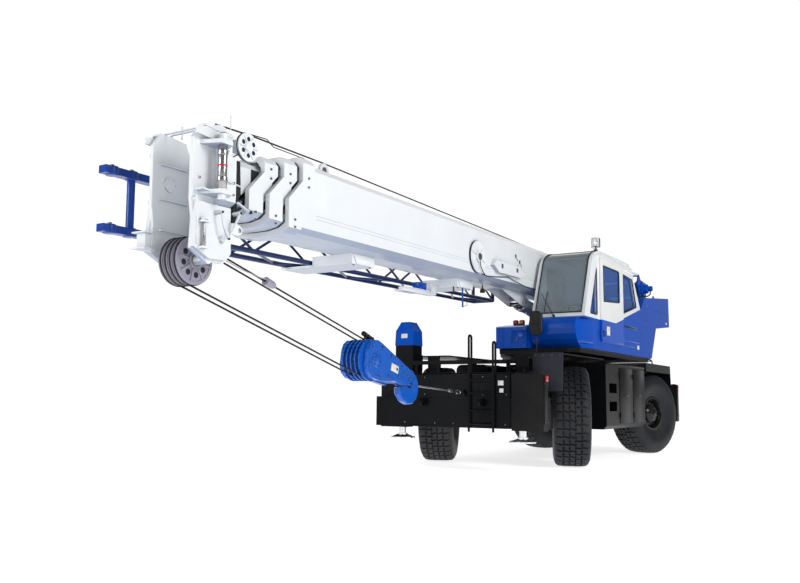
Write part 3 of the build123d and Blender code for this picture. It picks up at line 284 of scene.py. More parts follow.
def graded(tree, value, start, end, low=0.0, high=1.0):
    """Grades a value that goes from start to end into one from low to high."""
    step = tree.nodes.new("ShaderNodeMapRange")
    step.inputs["From Min"].default_value = start
    step.inputs["From Max"].default_value = end
    step.inputs["To Min"].default_value = low
    step.inputs["To Max"].default_value = high
    tree.links.new(value, step.inputs["Value"])
    return step.outputs["Result"]


def weathering():
    """Paint or rubber as it ages: slight unevenness, dust that settles low down and a fine skin."""
    group = bpy.data.node_groups.new("weathering", "ShaderNodeTree")
    face = group.interface
    for word, way, kind in (("Colour", "INPUT", "Color"), ("Dust Colour", "INPUT", "Color"),
                            ("Dust", "INPUT", "Float"), ("Clean Roughness", "INPUT", "Float"),
                            ("Grain", "INPUT", "Float"), ("Colour", "OUTPUT", "Color"),
                            ("Roughness", "OUTPUT", "Float"), ("Height", "OUTPUT", "Float")):
        face.new_socket(word, in_out=way, socket_type="NodeSocket" + kind)
    node, link = group.nodes.new, group.links.new
    given, result = node("NodeGroupInput"), node("NodeGroupOutput")
    place = node("ShaderNodeTexCoord")
    blotch = node("ShaderNodeTexNoise")
    blotch.inputs["Scale"].default_value = 1.7
    blotch.inputs["Detail"].default_value = 6.0
    link(place.outputs["Object"], blotch.inputs["Vector"])
    fine = node("ShaderNodeTexNoise")
    fine.inputs["Detail"].default_value = 3.0
    link(place.outputs["Object"], fine.inputs["Vector"])
    link(given.outputs["Grain"], fine.inputs["Scale"])
    grit = node("ShaderNodeMath")
    grit.operation = "MULTIPLY"
    link(graded(group, blotch.outputs["Fac"], 0.42, 0.68), grit.inputs[0])
    link(graded(group, split_of(group)["Z"], 0.2, 2.4, 1.0, 0.12), grit.inputs[1])
    mask = node("ShaderNodeMath")
    mask.operation = "MULTIPLY"
    mask.use_clamp = True
    link(grit.outputs["Value"], mask.inputs[0])
    link(given.outputs["Dust"], mask.inputs[1])
    uneven = node("ShaderNodeVectorMath")
    uneven.operation = "SCALE"
    link(given.outputs["Colour"], uneven.inputs[0])
    link(graded(group, blotch.outputs["Fac"], 0.0, 1.0, 0.93, 1.05), uneven.inputs["Scale"])
    mix = node("ShaderNodeMix")
    mix.data_type = "RGBA"
    link(mask.outputs["Value"], mix.inputs["Factor"])
    link(uneven.outputs["Vector"], mix.inputs["A"])
    link(given.outputs["Dust Colour"], mix.inputs["B"])
    link(mix.outputs["Result"], result.inputs["Colour"])
    dull = node("ShaderNodeMath")
    dull.operation = "MULTIPLY_ADD"
    dull.inputs[1].default_value = 0.35
    link(mask.outputs["Value"], dull.inputs[0])
    link(given.outputs["Clean Roughness"], dull.inputs[2])
    link(dull.outputs["Value"], result.inputs["Roughness"])
    link(fine.outputs["Fac"], result.inputs["Height"])
    return group


weathered = weathering()
dust = (0.30, 0.27, 0.23, 1.0)


def raise_by(material, height, strength, distance):
    """Lets a height in the material's tree shape its surface."""
    tree = material.node_tree
    skin = tree.nodes.new("ShaderNodeBump")
    skin.inputs["Strength"].default_value = strength
    skin.inputs["Distance"].default_value = distance
    tree.links.new(height, skin.inputs["Height"])
    tree.links.new(skin.outputs["Normal"], tree.nodes["Principled BSDF"].inputs["Normal"])


def finish(name, colour, roughness, coat=0.0, dusty=0.2, grain=60.0, bump=0.08, metal=0.0, depth=0.0006,
           gloss=0.3):
    """A coated or bare surface with its own values of the shared weathering."""
    material = bpy.data.materials.new(name)
    material.use_nodes = True
    tree = material.node_tree
    shader = tree.nodes["Principled BSDF"]
    shader.inputs["Metallic"].default_value = metal
    shader.inputs["Specular IOR Level"].default_value = gloss
    shader.inputs["Coat Weight"].default_value = coat
    shader.inputs["Coat Roughness"].default_value = 0.06
    wear = tree.nodes.new("ShaderNodeGroup")
    wear.node_tree = weathered
    wear.inputs["Colour"].default_value = (*colour, 1.0)
    wear.inputs["Dust Colour"].default_value = dust
    wear.inputs["Dust"].default_value = dusty
    wear.inputs["Clean Roughness"].default_value = roughness
    wear.inputs["Grain"].default_value = grain
    tree.links.new(wear.outputs["Colour"], shader.inputs["Base Color"])
    tree.links.new(wear.outputs["Roughness"], shader.inputs["Roughness"])
    raise_by(material, wear.outputs["Height"], bump, depth)
    return material


def dress(material, *names):
    """Gives CAD nodes their finish."""
    for name in names:
        for slot in parts[name].material_slots:
            slot.material = material


chassis_black = finish("chassis_black", (0.0035, 0.0040, 0.0050), 0.36, coat=0.02, dusty=0.012, gloss=0.10)
bolt_zinc = finish("bolt_zinc", (0.16, 0.16, 0.16), 0.4, metal=0.9, dusty=0.3)
dress(chassis_black, "carrier_frame")
wheelbase = 4.6
frame_bolts = Form()
for x in [0.95 - 0.24 * k for k in range(27)]:
    if abs(x) > 0.2 and abs(x + wheelbase) > 0.2 and not -3.15 < x < -1.25:
        frame_bolts.bolts([(x, 0.4, 1.08)], (0, 1, 0), 0.012)
frame_bolts.both_sides()
frame_bolts.piece("frame_bolts", "carrier", "bare_steel", [bolt_zinc])

# Outrigger boxes: a pair of rectangular tubes across each end, welded under the frame, with the
# beams sliding inside them and towing lugs on their outer faces. Black paint like the frame.
dress(chassis_black, "front_outrigger_box", "rear_outrigger_box")
box_trim = Form()
for x, way in ((1.80, 1), (-6.60, -1)):
    for y in (-0.86, -0.32, 0.0, 0.62, 0.86):
        box_trim.bolts([(x, y, 0.70)], (way, 0, 0), 0.011, skin=1)
    box_trim.box(x, x + way * 0.006, -0.93, 0.93, 0.655, 0.668)
    box_trim.box(x, x + way * 0.006, -0.93, 0.93, 1.075, 1.088)
for x0, x1, y, way in ((1.60, 1.79, 0.935, 1), (1.39, 1.58, -0.935, -1), (-6.385, -6.195, 0.935, 1),
                       (-6.595, -6.405, -0.935, -1)):
    for z in (0.665, 1.075):
        box_trim.box(x0, x1, y, y + way * 0.012, z, z + 0.016)
box_trim.piece("outrigger_box_trim", "carrier", "chassis_black", [chassis_black, bolt_zinc], bevel=0.002)


# Outrigger beams and jacks: welded box beams with an upright jack housing at their ends. The
# jack's rod is hard chromed and stands on a round steel float that swivels on a ball.
beam_black = finish("beam_black", (0.006, 0.006, 0.007), 0.40, coat=0.03, dusty=0.03, gloss=0.12)
chromed = finish("chromed_rod", (0.72, 0.73, 0.75), 0.12, dusty=0.05, metal=1.0, bump=0.02)
float_steel = finish("float_steel", (0.05, 0.05, 0.052), 0.5, dusty=0.5, metal=0.4, grain=140.0, bump=0.3)
marker_red = finish("marker_red", (0.62, 0.015, 0.02), 0.22, coat=0.4, dusty=0.05)
for end, middle in (("front", 1.59), ("rear", -6.39)):
    for word, way in (("left", 1), ("right", -1)):
        corner = end + "_" + word
        dress(beam_black, "beam_" + corner)
        dress(chromed, "jack_" + corner)
        lane = middle + way * 0.1
        cover = Form()
        outer = way * 1.45
        cover.box(lane - 0.07, lane + 0.07, outer, outer + way * 0.008, 0.72, 1.43)
        cover.bolts([(lane + dx, outer + way * 0.008, z) for dx in (-0.055, 0.055) for z in (0.745, 1.30)],
                    (0, way, 0), 0.010, 1)
        cover.box(lane - 0.05, lane + 0.05, outer + way * 0.008, outer + way * 0.014, 1.320, 1.420)
        cover.box(lane - 0.04, lane + 0.04, outer + way * 0.014, outer + way * 0.028, 1.330, 1.410, 2)
        cover.prism([(lane - 0.085, way * 0.99), (lane + 0.085, way * 0.99), (lane + 0.085, way * 1.41),
                     (lane - 0.085, way * 1.41)], "z", 1.44, 1.448)
        cover.bolts([(lane + dx, way * y, 1.448) for dx in (-0.065, 0.065) for y in (1.02, 1.38)], (0, 0, 1),
                    0.010, 1)
        cover.tube([(lane - 0.03, way * 1.12, 1.448), (lane - 0.03, way * 1.12, 1.5),
                    (lane, way * 1.12, 1.53), (lane + 0.03, way * 1.12, 1.5),
                    (lane + 0.03, way * 1.12, 1.448)], 0.008)
        cover.piece("jack_cover_" + corner, "outrigger_" + corner, "chassis_black",
                    [beam_black, bolt_zinc, marker_red], bevel=0.002)
        foot = Form()
        foot.lathe([(0.0, 0.0), (0.199, 0.0), (0.199, 0.010), (0.190, 0.018), (0.115, 0.020), (0.085, 0.034),
                    (0.082, 0.052), (0.0, 0.052)], (lane, way * 1.09, 0.4422), (0, 0, 1), 40)
        for k in range(6):
            angle = pi / 6 + pi / 3 * k
            along, beside = Vector((cos(angle), sin(angle), 0)), Vector((-sin(angle), cos(angle), 0)) * 0.005
            middle_at = Vector((lane, way * 1.09, 0.460))
            foot.rings([[middle_at + along * 0.08 + beside, middle_at + along * 0.08 - beside,
                         middle_at + along * 0.08 - beside + Vector((0, 0, 0.045)),
                         middle_at + along * 0.08 + beside + Vector((0, 0, 0.045))],
                        [middle_at + along * 0.18 + beside, middle_at + along * 0.18 - beside,
                         middle_at + along * 0.18 - beside + Vector((0, 0, 0.008)),
                         middle_at + along * 0.18 + beside + Vector((0, 0, 0.008))]])
        foot.piece("float_" + corner, "jackleg_" + corner, "chromed_rod", [float_steel], bevel=0.0015)


# Front deck: folded sheet over the front outrigger box, with a walkway of raised diamonds, a
# rail above it, a ladder up the left and lamps and bare plates on the front faces.
def diamond_tread():
    """Raised diamonds of walkway plate, as a height over the surface."""
    group = bpy.data.node_groups.new("diamond_tread", "ShaderNodeTree")
    group.interface.new_socket("Pitch", in_out="INPUT", socket_type="NodeSocketFloat")
    group.interface.new_socket("Height", in_out="OUTPUT", socket_type="NodeSocketFloat")
    node, link = group.nodes.new, group.links.new
    given, result = node("NodeGroupInput"), node("NodeGroupOutput")
    place = node("ShaderNodeTexCoord")
    heights = []
    for angle, shift in ((45, 0.0), (-45, 0.5)):
        turn_it = node("ShaderNodeMapping")
        turn_it.inputs["Rotation"].default_value = (0, 0, radians(angle))
        turn_it.inputs["Location"].default_value = (shift, shift, 0)
        link(place.outputs["Object"], turn_it.inputs["Vector"])
        grid = node("ShaderNodeTexBrick")
        grid.offset = 0.5
        grid.inputs["Color1"].default_value = (0, 0, 0, 1)
        grid.inputs["Color2"].default_value = (0, 0, 0, 1)
        grid.inputs["Mortar"].default_value = (1, 1, 1, 1)
        grid.inputs["Mortar Size"].default_value = 0.012
        grid.inputs["Mortar Smooth"].default_value = 0.6
        grid.inputs["Brick Width"].default_value = 0.5
        grid.inputs["Row Height"].default_value = 0.25
        link(turn_it.outputs["Vector"], grid.inputs["Vector"])
        link(given.outputs["Pitch"], grid.inputs["Scale"])
        heights.append(grid.outputs["Fac"])
    both = node("ShaderNodeMath")
    both.operation = "MULTIPLY"
    link(heights[0], both.inputs[0])
    link(heights[1], both.inputs[1])
    link(both.outputs["Value"], result.inputs["Height"])
    return group


walkway = finish("walkway_black", (0.010, 0.010, 0.012), 0.5, dusty=0.08, gloss=0.2)
tread = walkway.node_tree.nodes.new("ShaderNodeGroup")
tread.node_tree = diamond_tread()
tread.inputs["Pitch"].default_value = 9.0
raise_by(walkway, tread.outputs["Height"], 0.7, 0.003)
dress(chassis_black, "front_deck", "ladder")
plate_white = finish("plate_white", (0.72, 0.72, 0.70), 0.4, dusty=0.05)


def lens(name, colour):
    """Moulded lamp lens with fine ribs. Its bright, opaque colour is painted light for a reflector that
    shines through it, which is not built.
    """
    material = bpy.data.materials.new(name)
    material.use_nodes = True
    tree = material.node_tree
    shader = tree.nodes["Principled BSDF"]
    shader.inputs["Roughness"].default_value = 0.12
    shader.inputs["Coat Weight"].default_value = 0.6
    place = tree.nodes.new("ShaderNodeTexCoord")
    ribs = tree.nodes.new("ShaderNodeTexWave")
    ribs.bands_direction = "Z"
    ribs.inputs["Scale"].default_value = 40.0
    ribs.inputs["Distortion"].default_value = 0.4
    tree.links.new(place.outputs["Object"], ribs.inputs["Vector"])
    ramp = tree.nodes.new("ShaderNodeValToRGB")
    ramp.color_ramp.elements[0].color = (*[c * 0.72 for c in colour], 1)
    ramp.color_ramp.elements[1].color = (*colour, 1)
    tree.links.new(ribs.outputs["Fac"], ramp.inputs["Fac"])
    tree.links.new(ramp.outputs["Color"], shader.inputs["Base Color"])
    raise_by(material, ribs.outputs["Fac"], 0.4, 0.001)
    return material


lamp_glass = lens("lamp_lens_clear", (0.85, 0.86, 0.88))
lens_red = lens("lamp_lens_red", (0.65, 0.01, 0.015))
lens_orange = lens("lamp_lens_orange", (0.85, 0.22, 0.02))
deck_trim = Form()
deck_trim.box(1.02, 1.79, -0.92, 0.92, 1.461, 1.466, 1)
for y in (-0.42, 0.42):
    deck_trim.box(1.800, 1.803, y - 0.004, y + 0.004, 1.12, 1.44)
deck_trim.box(1.800, 1.812, -0.93, 0.93, 1.425, 1.445)
deck_trim.bolts([(1.803, y, z) for y in (-0.88, -0.5, 0.5, 0.88) for z in (1.14, 1.40)], (1, 0, 0), 0.010, 2)
# y and z of the middle, half width and half height of each bare plate
for y, z, half_y, half_z in ((0.79, 1.31, 0.045, 0.035), (0.80, 1.20, 0.032, 0.030),
                             (-0.80, 1.29, 0.050, 0.030), (-0.82, 1.20, 0.032, 0.020)):
    deck_trim.box(1.800, 1.8035, y - half_y, y + half_y, z - half_z, z + half_z, 3)
deck_trim.piece("front_deck_trim", "carrier", "chassis_black",
                [chassis_black, walkway, bolt_zinc, plate_white], bevel=0.0015)


# Road lamps: round lamps in a dark plastic cluster behind the left corner of the deck and at both
# rear corners. Each has a moulded lens in a ribbed bezel, pressed into the cluster's face.
lamp_plastic = finish("lamp_plastic", (0.015, 0.015, 0.016), 0.5, dusty=0.2, grain=220.0, bump=0.2)
dress(lamp_plastic, "carrier_lamps")
road_lamps = Form()
# x of the lens face, y, z, radius, the way that it looks, and the lens: 1 clear, 2 orange, 3 red
for x, y, z, r, way, skin in ((1.15, 1.01, 1.30, 0.044, 1, 2), (1.15, 1.10, 1.30, 0.044, 1, 1),
                              (1.15, 1.20, 1.30, 0.044, 1, 3), (-5.755, 1.18, 1.57, 0.032, -1, 1),
                              (-5.755, 1.29, 1.57, 0.032, -1, 2), (-5.755, 1.36, 1.57, 0.032, -1, 3),
                              (-5.755, -1.18, 1.57, 0.032, -1, 1), (-5.755, -1.29, 1.57, 0.032, -1, 2),
                              (-5.755, -1.36, 1.57, 0.032, -1, 3)):
    road_lamps.lathe([(r + 0.006, -0.035), (r + 0.006, 0.003), (r - 0.002, 0.003), (r - 0.002, -0.035)],
                     (x, y, z), (way, 0, 0), 28, closed=True)
    road_lamps.lathe([(0.0, -0.004), (r - 0.002, -0.004), (r - 0.004, 0.006), (r * 0.6, 0.013), (0.0, 0.015)],
                     (x, y, z), (way, 0, 0), 28, skin)
road_lamps.box(1.094, 1.101, 0.985, 1.245, 1.222, 1.240)
road_lamps.rod((1.075, 1.10, 1.385), (1.02, 1.10, 1.47), 0.012)
road_lamps.piece("road_lamps", "carrier", "tinted_glass", [lamp_plastic, lamp_glass, lens_orange, lens_red])


# Intake post: an upright duct at the right of the deck with a moulded hood in body colour.
# The hood draws in towards its top and has slots on the side that faces back.
body_blue = finish("body_blue", (0.003, 0.075, 0.47), 0.16, coat=0.03, dusty=0.0, grain=30.0, bump=0.03,
                   gloss=0.15)
dress(chassis_black, "intake_post")
dress(body_blue, "intake_cap")
intake_trim = Form()
intake_trim.box(1.380, 1.3835, -1.20, -1.08, 2.06, 2.13, 1)
for k in range(5):
    intake_trim.box(1.062, 1.070, -1.26, -1.03, 1.98 + 0.045 * k, 2.00 + 0.045 * k)
intake_trim.rod((1.10, -1.318, 1.95), (1.10, -1.318, 1.99), 0.012)
intake_trim.rod((1.34, -1.318, 1.95), (1.34, -1.318, 1.99), 0.012)
intake_trim.piece("intake_hood_trim", "carrier", "body_blue", [chassis_black, plate_white], bevel=0.002)


# Mudguards, side boxes and tank: pressed sheet guards over the wheels with grey rubber flaps,
# a step box on the left and a fuel tank with strap bands on the right.
guard_grey = finish("guard_grey", (0.026, 0.028, 0.040), 0.5, dusty=0.05, grain=120.0, bump=0.15)
dress(chassis_black, "mudguards", "side_boxes", "engine_hood")
flap = Form()
flap.prism([(1.026, 1.79), (1.034, 1.79), (1.074, 1.20), (1.066, 1.20)], "y", 0.985, 1.475)
flap.bolts([(1.036, y, 1.75) for y in (1.03, 1.15, 1.30, 1.43)], (1, 0, 0), 0.010, 1)
flap.both_sides()
flap.piece("front_flaps", "carrier", "guard_grey", [guard_grey, bolt_zinc], bevel=0.002)
box_doors = Form()
for x0, x1 in ((-3.48, -2.72), (-2.68, -1.86)):
    box_doors.box(x0, x1, 1.460, 1.468, 0.66, 1.66)
    box_doors.rod(((x0 + x1) / 2 - 0.07, 1.485, 1.16), ((x0 + x1) / 2 + 0.07, 1.485, 1.16), 0.009, skin=1)
    for dx in (-0.07, 0.07):
        box_doors.rod(((x0 + x1) / 2 + dx, 1.466, 1.16), ((x0 + x1) / 2 + dx, 1.485, 1.16), 0.007, skin=1)
    for z in (0.80, 1.52):
        box_doors.rod((x1 - 0.01, 1.470, z - 0.05), (x1 - 0.01, 1.470, z + 0.05), 0.010)
box_doors.box(-3.50, -1.12, 1.40, 1.474, 1.690, 1.722)
for x in (-3.05, -2.35, -1.65):
    ring = [(x, -0.79, 0.72), (x, -0.79, 1.66), (x, -0.83, 1.722), (x, -1.42, 1.722), (x, -1.463, 1.66),
            (x, -1.463, 0.72), (x, -1.42, 0.655), (x, -0.83, 0.655)]
    box_doors.rings([[Vector(p) + Vector((dx, 0, 0)) for p in ring] for dx in (-0.03, 0.03)])
box_doors.lathe([(0.0, 0.0), (0.06, 0.0), (0.06, 0.03), (0.05, 0.045), (0.0, 0.045)], (-1.30, -1.20, 1.72),
                (0, 0, 1), 24)
box_doors.piece("side_box_doors", "carrier", "chassis_black", [chassis_black, bolt_zinc], bevel=0.003)


# Axles and drive line: cast housings with a bolted differential, fork ends for the kingpins, a
# steering ram beside the tube and a shaft from the transfer case. Cast iron in dark primer.
cast_grey = finish("cast_grey", (0.012, 0.013, 0.015), 0.55, dusty=0.15, grain=90.0, bump=0.35, depth=0.001)
dress(cast_grey, "front_axle", "rear_axle", "drive_line", "slew_ring", "engine")
hose_black = finish("hose_black", (0.012, 0.012, 0.013), 0.42, dusty=0.2, grain=300.0, bump=0.2)
axle_height = 0.8085
for axle, x, way in (("front", 0.0, -1), ("rear", -wheelbase, 1)):
    for word, hand in (("left", 1), ("right", -1)):
        dress(cast_grey, "knuckle_" + axle + "_" + word)
    case = Form()
    case.lathe([(0.150, 0.098), (0.224, 0.098), (0.224, 0.122), (0.150, 0.122)], (x, 0, axle_height),
               (way, 0, 0), 40, closed=True)
    for k in range(14):
        angle = 2 * pi * (k + 0.5) / 14
        if sin(angle) < 0.80:
            case.bolts([(x + way * 0.122, 0.209 * cos(angle), axle_height + 0.209 * sin(angle))], (way, 0, 0),
                       0.010, 1)
    case.lathe([(0.0, 0.25), (0.12, 0.25), (0.12, 0.275), (0.0, 0.275)], (x, 0, axle_height), (way, 0, 0), 32)
    for k in range(8):
        angle = 2 * pi * k / 8
        case.bolts([(x + way * 0.275, 0.106 * cos(angle), axle_height + 0.106 * sin(angle))], (way, 0, 0),
                   0.008, 1)
    for side_y in (-0.905, 0.905):
        for z, up in ((axle_height + 0.204, 1), (axle_height - 0.204, -1)):
            case.lathe([(0.0, 0.0), (0.058, 0.0), (0.055, 0.014), (0.0, 0.014)], (x, side_y, z), (0, 0, up),
                       24)
            case.bolts([(x + 0.042 * cos(t), side_y + 0.042 * sin(t), z + up * 0.014)
                        for t in (0.8, 2.4, 3.9, 5.5)], (0, 0, up), 0.007, 1)
    for y in (-0.30, 0.30):
        case.tube([(x - way * 0.23, y, 0.83), (x - way * 0.23, y, 0.92), (x - way * 0.20, y * 0.9, 0.99),
                   (x - way * 0.15, y * 0.75, 1.04), (x - way * 0.15, y * 0.6, 1.10)], 0.011, 10, 2)
        case.rod((x - way * 0.23, y, 0.825), (x - way * 0.23, y, 0.855), 0.016, 6, skin=1)
    case.piece("axle_fittings_" + axle, "carrier", "cast_parts", [cast_grey, bolt_zinc, hose_black],
               bevel=0.0015)


# Wheels: earthmover tyres on disc wheels. The tread is five rings of wavy-edged blocks, cut by
# zigzag grooves, on a casing with fine rings on its sides. The black disc wheel has a ring of nuts.
rubber = finish("tyre_rubber", (0.012, 0.014, 0.020), 0.62, dusty=0.10, grain=160.0, bump=0.25, depth=0.0008)
rubber_sides = finish("tyre_sides", (0.008, 0.010, 0.014), 0.50, dusty=0.08, grain=60.0, bump=0.12)
wheel_black = finish("wheel_black", (0.006, 0.0065, 0.008), 0.22, coat=0.2, dusty=0.03)
tyre_radius = 0.8085
casing_line = [(0.3178, -0.189), (0.3778, -0.211), (0.5013, -0.2865), (0.6145, -0.2985), (0.7196, -0.2845),
               (0.7705, -0.259), (0.7995, -0.223), (tyre_radius, -0.1175), (tyre_radius, 0.1175),
               (0.7995, 0.223), (0.7705, 0.259), (0.7196, 0.2845), (0.6145, 0.2985), (0.5013, 0.2865),
               (0.3778, 0.211), (0.3178, 0.189)]
groove = 0.024
blocks_round = 38


def outer_radius(y):
    """Radius of the tyre at a way across the tread."""
    y = abs(y)
    line = [(0.0, tyre_radius)] + [(a, r) for r, a in casing_line[8:12]]
    for (y0, r0), (y1, r1) in zip(line, line[1:]):
        if y <= y1:
            return r0 + (r1 - r0) * (y - y0) / (y1 - y0)
    return line[-1][1]


def tyre_form():
    """Casing about the Y axis with the blocks of the tread on it."""
    tyre = Form()
    profile = []
    for r, y in casing_line:
        sunk = groove if abs(y) < 0.24 else groove * 0.45 if abs(y) < 0.27 else 0.0
        profile.append((r - sunk, y))
    for k, (r, y) in ((3, (0.560, -0.2960)), (3, (0.580, -0.3000)), (3, (0.600, -0.2985))):
        profile.insert(k, (r, y))
    n = len(profile)
    for r, y in ((0.600, 0.2985), (0.580, 0.3000), (0.560, 0.2960)):
        profile.insert(n - 3, (r, y))
        n += 1
    profile = [(min(r, tyre_radius), max(-0.2985, min(0.2985, y))) for r, y in profile]
    tyre.lathe(profile, (0, 0, 0), (0, 1, 0), 112, 1, closed=True)
    tread_depth = groove * 1.05
    # middle of each ring across the tyre, half width, wave of its edges, gap along the ring, and lean
    rings = ((0.0, 0.036, 0.008, 0.24, 0.35),
             (0.092, 0.037, 0.008, 0.24, -0.30), (-0.092, 0.037, 0.008, 0.24, -0.30),
             (0.204, 0.052, 0.009, 0.22, 0.22), (-0.204, 0.052, 0.009, 0.22, 0.22))
    step = 2 * pi / blocks_round
    for row, (middle, half, wave, gap, lean) in enumerate(rings):
        for k in range(blocks_round):
            start = (k + 0.5 * (row % 2)) * step
            top, foot = [], []
            for i in range(5):
                along = i / 4
                line_top, line_foot = [], []
                for j in range(4):
                    across = j / 3 * 2 - 1
                    bulge = wave * cos(along * 2 * pi) * (1 if across > 0 else -1)
                    y = middle + across * half + (bulge if abs(across) == 1 else 0.0)
                    skew = lean * across * (1 if middle >= 0 else -1)
                    angle = start + step * (1 - gap) * (along + 0.18 * skew) + 0.06 * step * sin(across * 3)
                    r = outer_radius(y)
                    line_top.append((r * sin(angle), y, r * cos(angle)))
                    wide = 1.0 if 0 < i < 4 else 0.0
                    angle_foot = angle + (0.0 if wide else (0.05 * step if i else -0.05 * step))
                    y_foot = y + (0.004 if j == 3 else -0.004 if j == 0 else 0.0)
                    low = outer_radius(y_foot) - tread_depth
                    line_foot.append((low * sin(angle_foot), y_foot, low * cos(angle_foot)))
                top.append(line_top)
                foot.append(line_foot)
            points = [p for line in top for p in line]
            faces = [(i * 4 + j, i * 4 + j + 1, i * 4 + j + 5, i * 4 + j + 4) for i in range(4)
                     for j in range(3)]
            edge = [(i, 0) for i in range(5)] + [(4, j) for j in range(1, 4)] + [(i, 3)
                    for i in (3, 2, 1, 0)] + [(0, j) for j in (2, 1)]
            base = len(points)
            points += [foot[i][j] for i, j in edge]
            count = len(edge)
            for m in range(count):
                a, b = edge[m], edge[(m + 1) % count]
                faces.append((a[0] * 4 + a[1], base + m, base + (m + 1) % count, b[0] * 4 + b[1]))
            tyre.add(points, faces, 0)
    # shallow bars that run from the tread down the shoulders
    for hand in (1, -1):
        for k in range(blocks_round * 2):
            angle = (k + 0.25) * step / 2
            ring = []
            for spread in (-0.16, 0.16):
                t = angle + spread * step / 2
                ring.append([Vector((r * sin(t), hand * y, r * cos(t)))
                             for r, y in ((0.7690, 0.2580), (0.7190, 0.2835), (0.6900, 0.2895),
                                          (0.6900, 0.2790), (0.7600, 0.2500))])
            tyre.rings(ring, 1)
    return tyre


turned = {"front": radians(22), "rear": radians(-20)}
for axle, x in (("front", 0.0), ("rear", -wheelbase)):
    for word, hand in (("left", 1), ("right", -1)):
        corner = axle + "_" + word
        place = on_carrier @ Matrix.Translation((x, hand * 0.905,
                                                 axle_height)) @ Matrix.Rotation(turned[axle], 4, "Z")
        place = place @ Matrix.Translation((0, hand * 0.285, 0)) @ Matrix.Scale(hand, 4, (0, 1, 0))
        tyre = tyre_form().piece("tyre_tread_" + corner, "wheel_" + corner, "tyre_rubber",
                                 [rubber, rubber_sides], place, smooth=42.0)
        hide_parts("tyre_" + corner)
        dress(wheel_black, "rim_" + corner)
        nuts = Form()
        for k in range(16):
            angle = 2 * pi * k / 16
            at = (0.206 * sin(angle), 0.127, 0.206 * cos(angle))
            nuts.rod(at, (at[0], 0.148, at[2]), 0.015, 6, skin=1)
            nuts.rod((at[0], 0.148, at[2]), (at[0], 0.158, at[2]), 0.008, 10, skin=1)
        nuts.lathe([(0.0, 0.250), (0.040, 0.250), (0.036, 0.257), (0.0, 0.259)], (0, 0, 0), (0, 1, 0), 24)
        for k in range(8):
            angle = 2 * pi * (k + 0.5) / 8
            nuts.bolts([(0.106 * sin(angle), 0.2385, 0.106 * cos(angle))], (0, 1, 0), 0.009, 1)
        nuts.lathe([(0.330, 0.196), (0.352, 0.203), (0.352, 0.215), (0.330, 0.215)], (0, 0, 0), (0, 1, 0), 72,
                   closed=True)
        nuts.lathe([(0.296, 0.170), (0.302, 0.178), (0.302, 0.188), (0.292, 0.188)], (0, 0, 0), (0, 1, 0), 72,
                   closed=True)
        nuts.tube([(0.0, 0.12, 0.285), (0.0, 0.16, 0.283), (0.0, 0.19, 0.275)], 0.006, 8, 1)
        nuts.piece("wheel_nuts_" + corner, "wheel_" + corner, "cast_parts", [wheel_black, bolt_zinc], place,
                   bevel=0.0012)


# Engine hood: folded sheet over the rear frame, louvred along both sides, hinged and latched. The
# front ladder's round rungs get their ribbed grips here too.
hood_trim = Form()
for x in (-6.20, -5.55, -4.92):
    hood_trim.box(x - 0.05, x + 0.05, 0.460, 0.466, 1.50, 1.545)
    hood_trim.rod((x - 0.045, 0.470, 1.522), (x + 0.045, 0.470, 1.522), 0.008)
for x in (-5.9, -5.2):
    hood_trim.tube([(x - 0.06, 0.30, 1.87), (x - 0.06, 0.30, 1.90), (x - 0.045, 0.30, 1.915),
                    (x + 0.045, 0.30, 1.915), (x + 0.06, 0.30, 1.90), (x + 0.06, 0.30, 1.87)], 0.007, 8, 1)
for k in range(7):
    x = -6.12 + 0.15 * k
    hood_trim.prism([(x - 0.006, 1.56), (x, 1.56), (x, 1.78), (x - 0.006, 1.78)], "y", 0.458, 0.474)
hood_trim.both_sides()
hood_trim.box(-6.25, -4.87, -0.008, 0.008, 1.868, 1.876)
hood_trim.piece("engine_hood_trim", "carrier", "chassis_black", [chassis_black, bolt_zinc], bevel=0.0015)
ladder_grips = Form()
for z in (0.70, 0.90, 1.16, 1.35):
    for k in range(9):
        y = 0.33 + 0.038 * k
        ladder_grips.lathe([(0.0145, -0.004), (0.0175, -0.002), (0.0175, 0.002), (0.0145, 0.004)],
                           (1.845, y, z), (0, 1, 0), 14, closed=True)
ladder_grips.piece("ladder_rung_grips", "carrier", "chassis_black", [chassis_black])


# Turntable and boom cheeks: the ring flange is bolted to the slewing bearing, and the two deep
# cheeks stand on its base plate and hold the boom's pin and the foot pin of the lift cylinder.
dress(chassis_black, "turntable")
dress(body_blue, "boom_cheeks")
ring_bolts = Form()
for k in range(48):
    angle = 2 * pi * k / 48
    ring_bolts.bolts([(-2.2 + 0.70 * cos(angle), 0.70 * sin(angle), 1.6603)], (0, 0, 1), 0.013)
ring_bolts.piece("slew_ring_bolts", "superstructure", "bare_steel", [bolt_zinc])
keepers = Form()
for x, z, y, r in ((-4.0, 3.24, 0.449, 0.065), (-2.85, 2.56, 0.205, 0.050)):
    keepers.lathe([(0.0, 0.0), (r - 0.006, 0.0), (r - 0.012, 0.006), (0.0, 0.006)], (x, y, z), (0, 1, 0), 32,
                  1)
    keepers.box(x - r * 1.7, x + r * 1.7, y - 0.006, y + 0.012, z + r * 0.45, z + r * 0.95)
    keepers.bolts([(x - r * 1.35, y + 0.012, z + r * 0.7), (x + r * 1.35, y + 0.012, z + r * 0.7)], (0, 1, 0),
                  0.012, 1)
keepers.tube([(-2.70, 0.425, 2.12), (-3.25, 0.425, 2.72), (-4.0, 0.425, 2.72), (-4.15, 0.425, 2.12),
              (-2.70, 0.425, 2.12)], 0.022, 12)
keepers.both_sides()
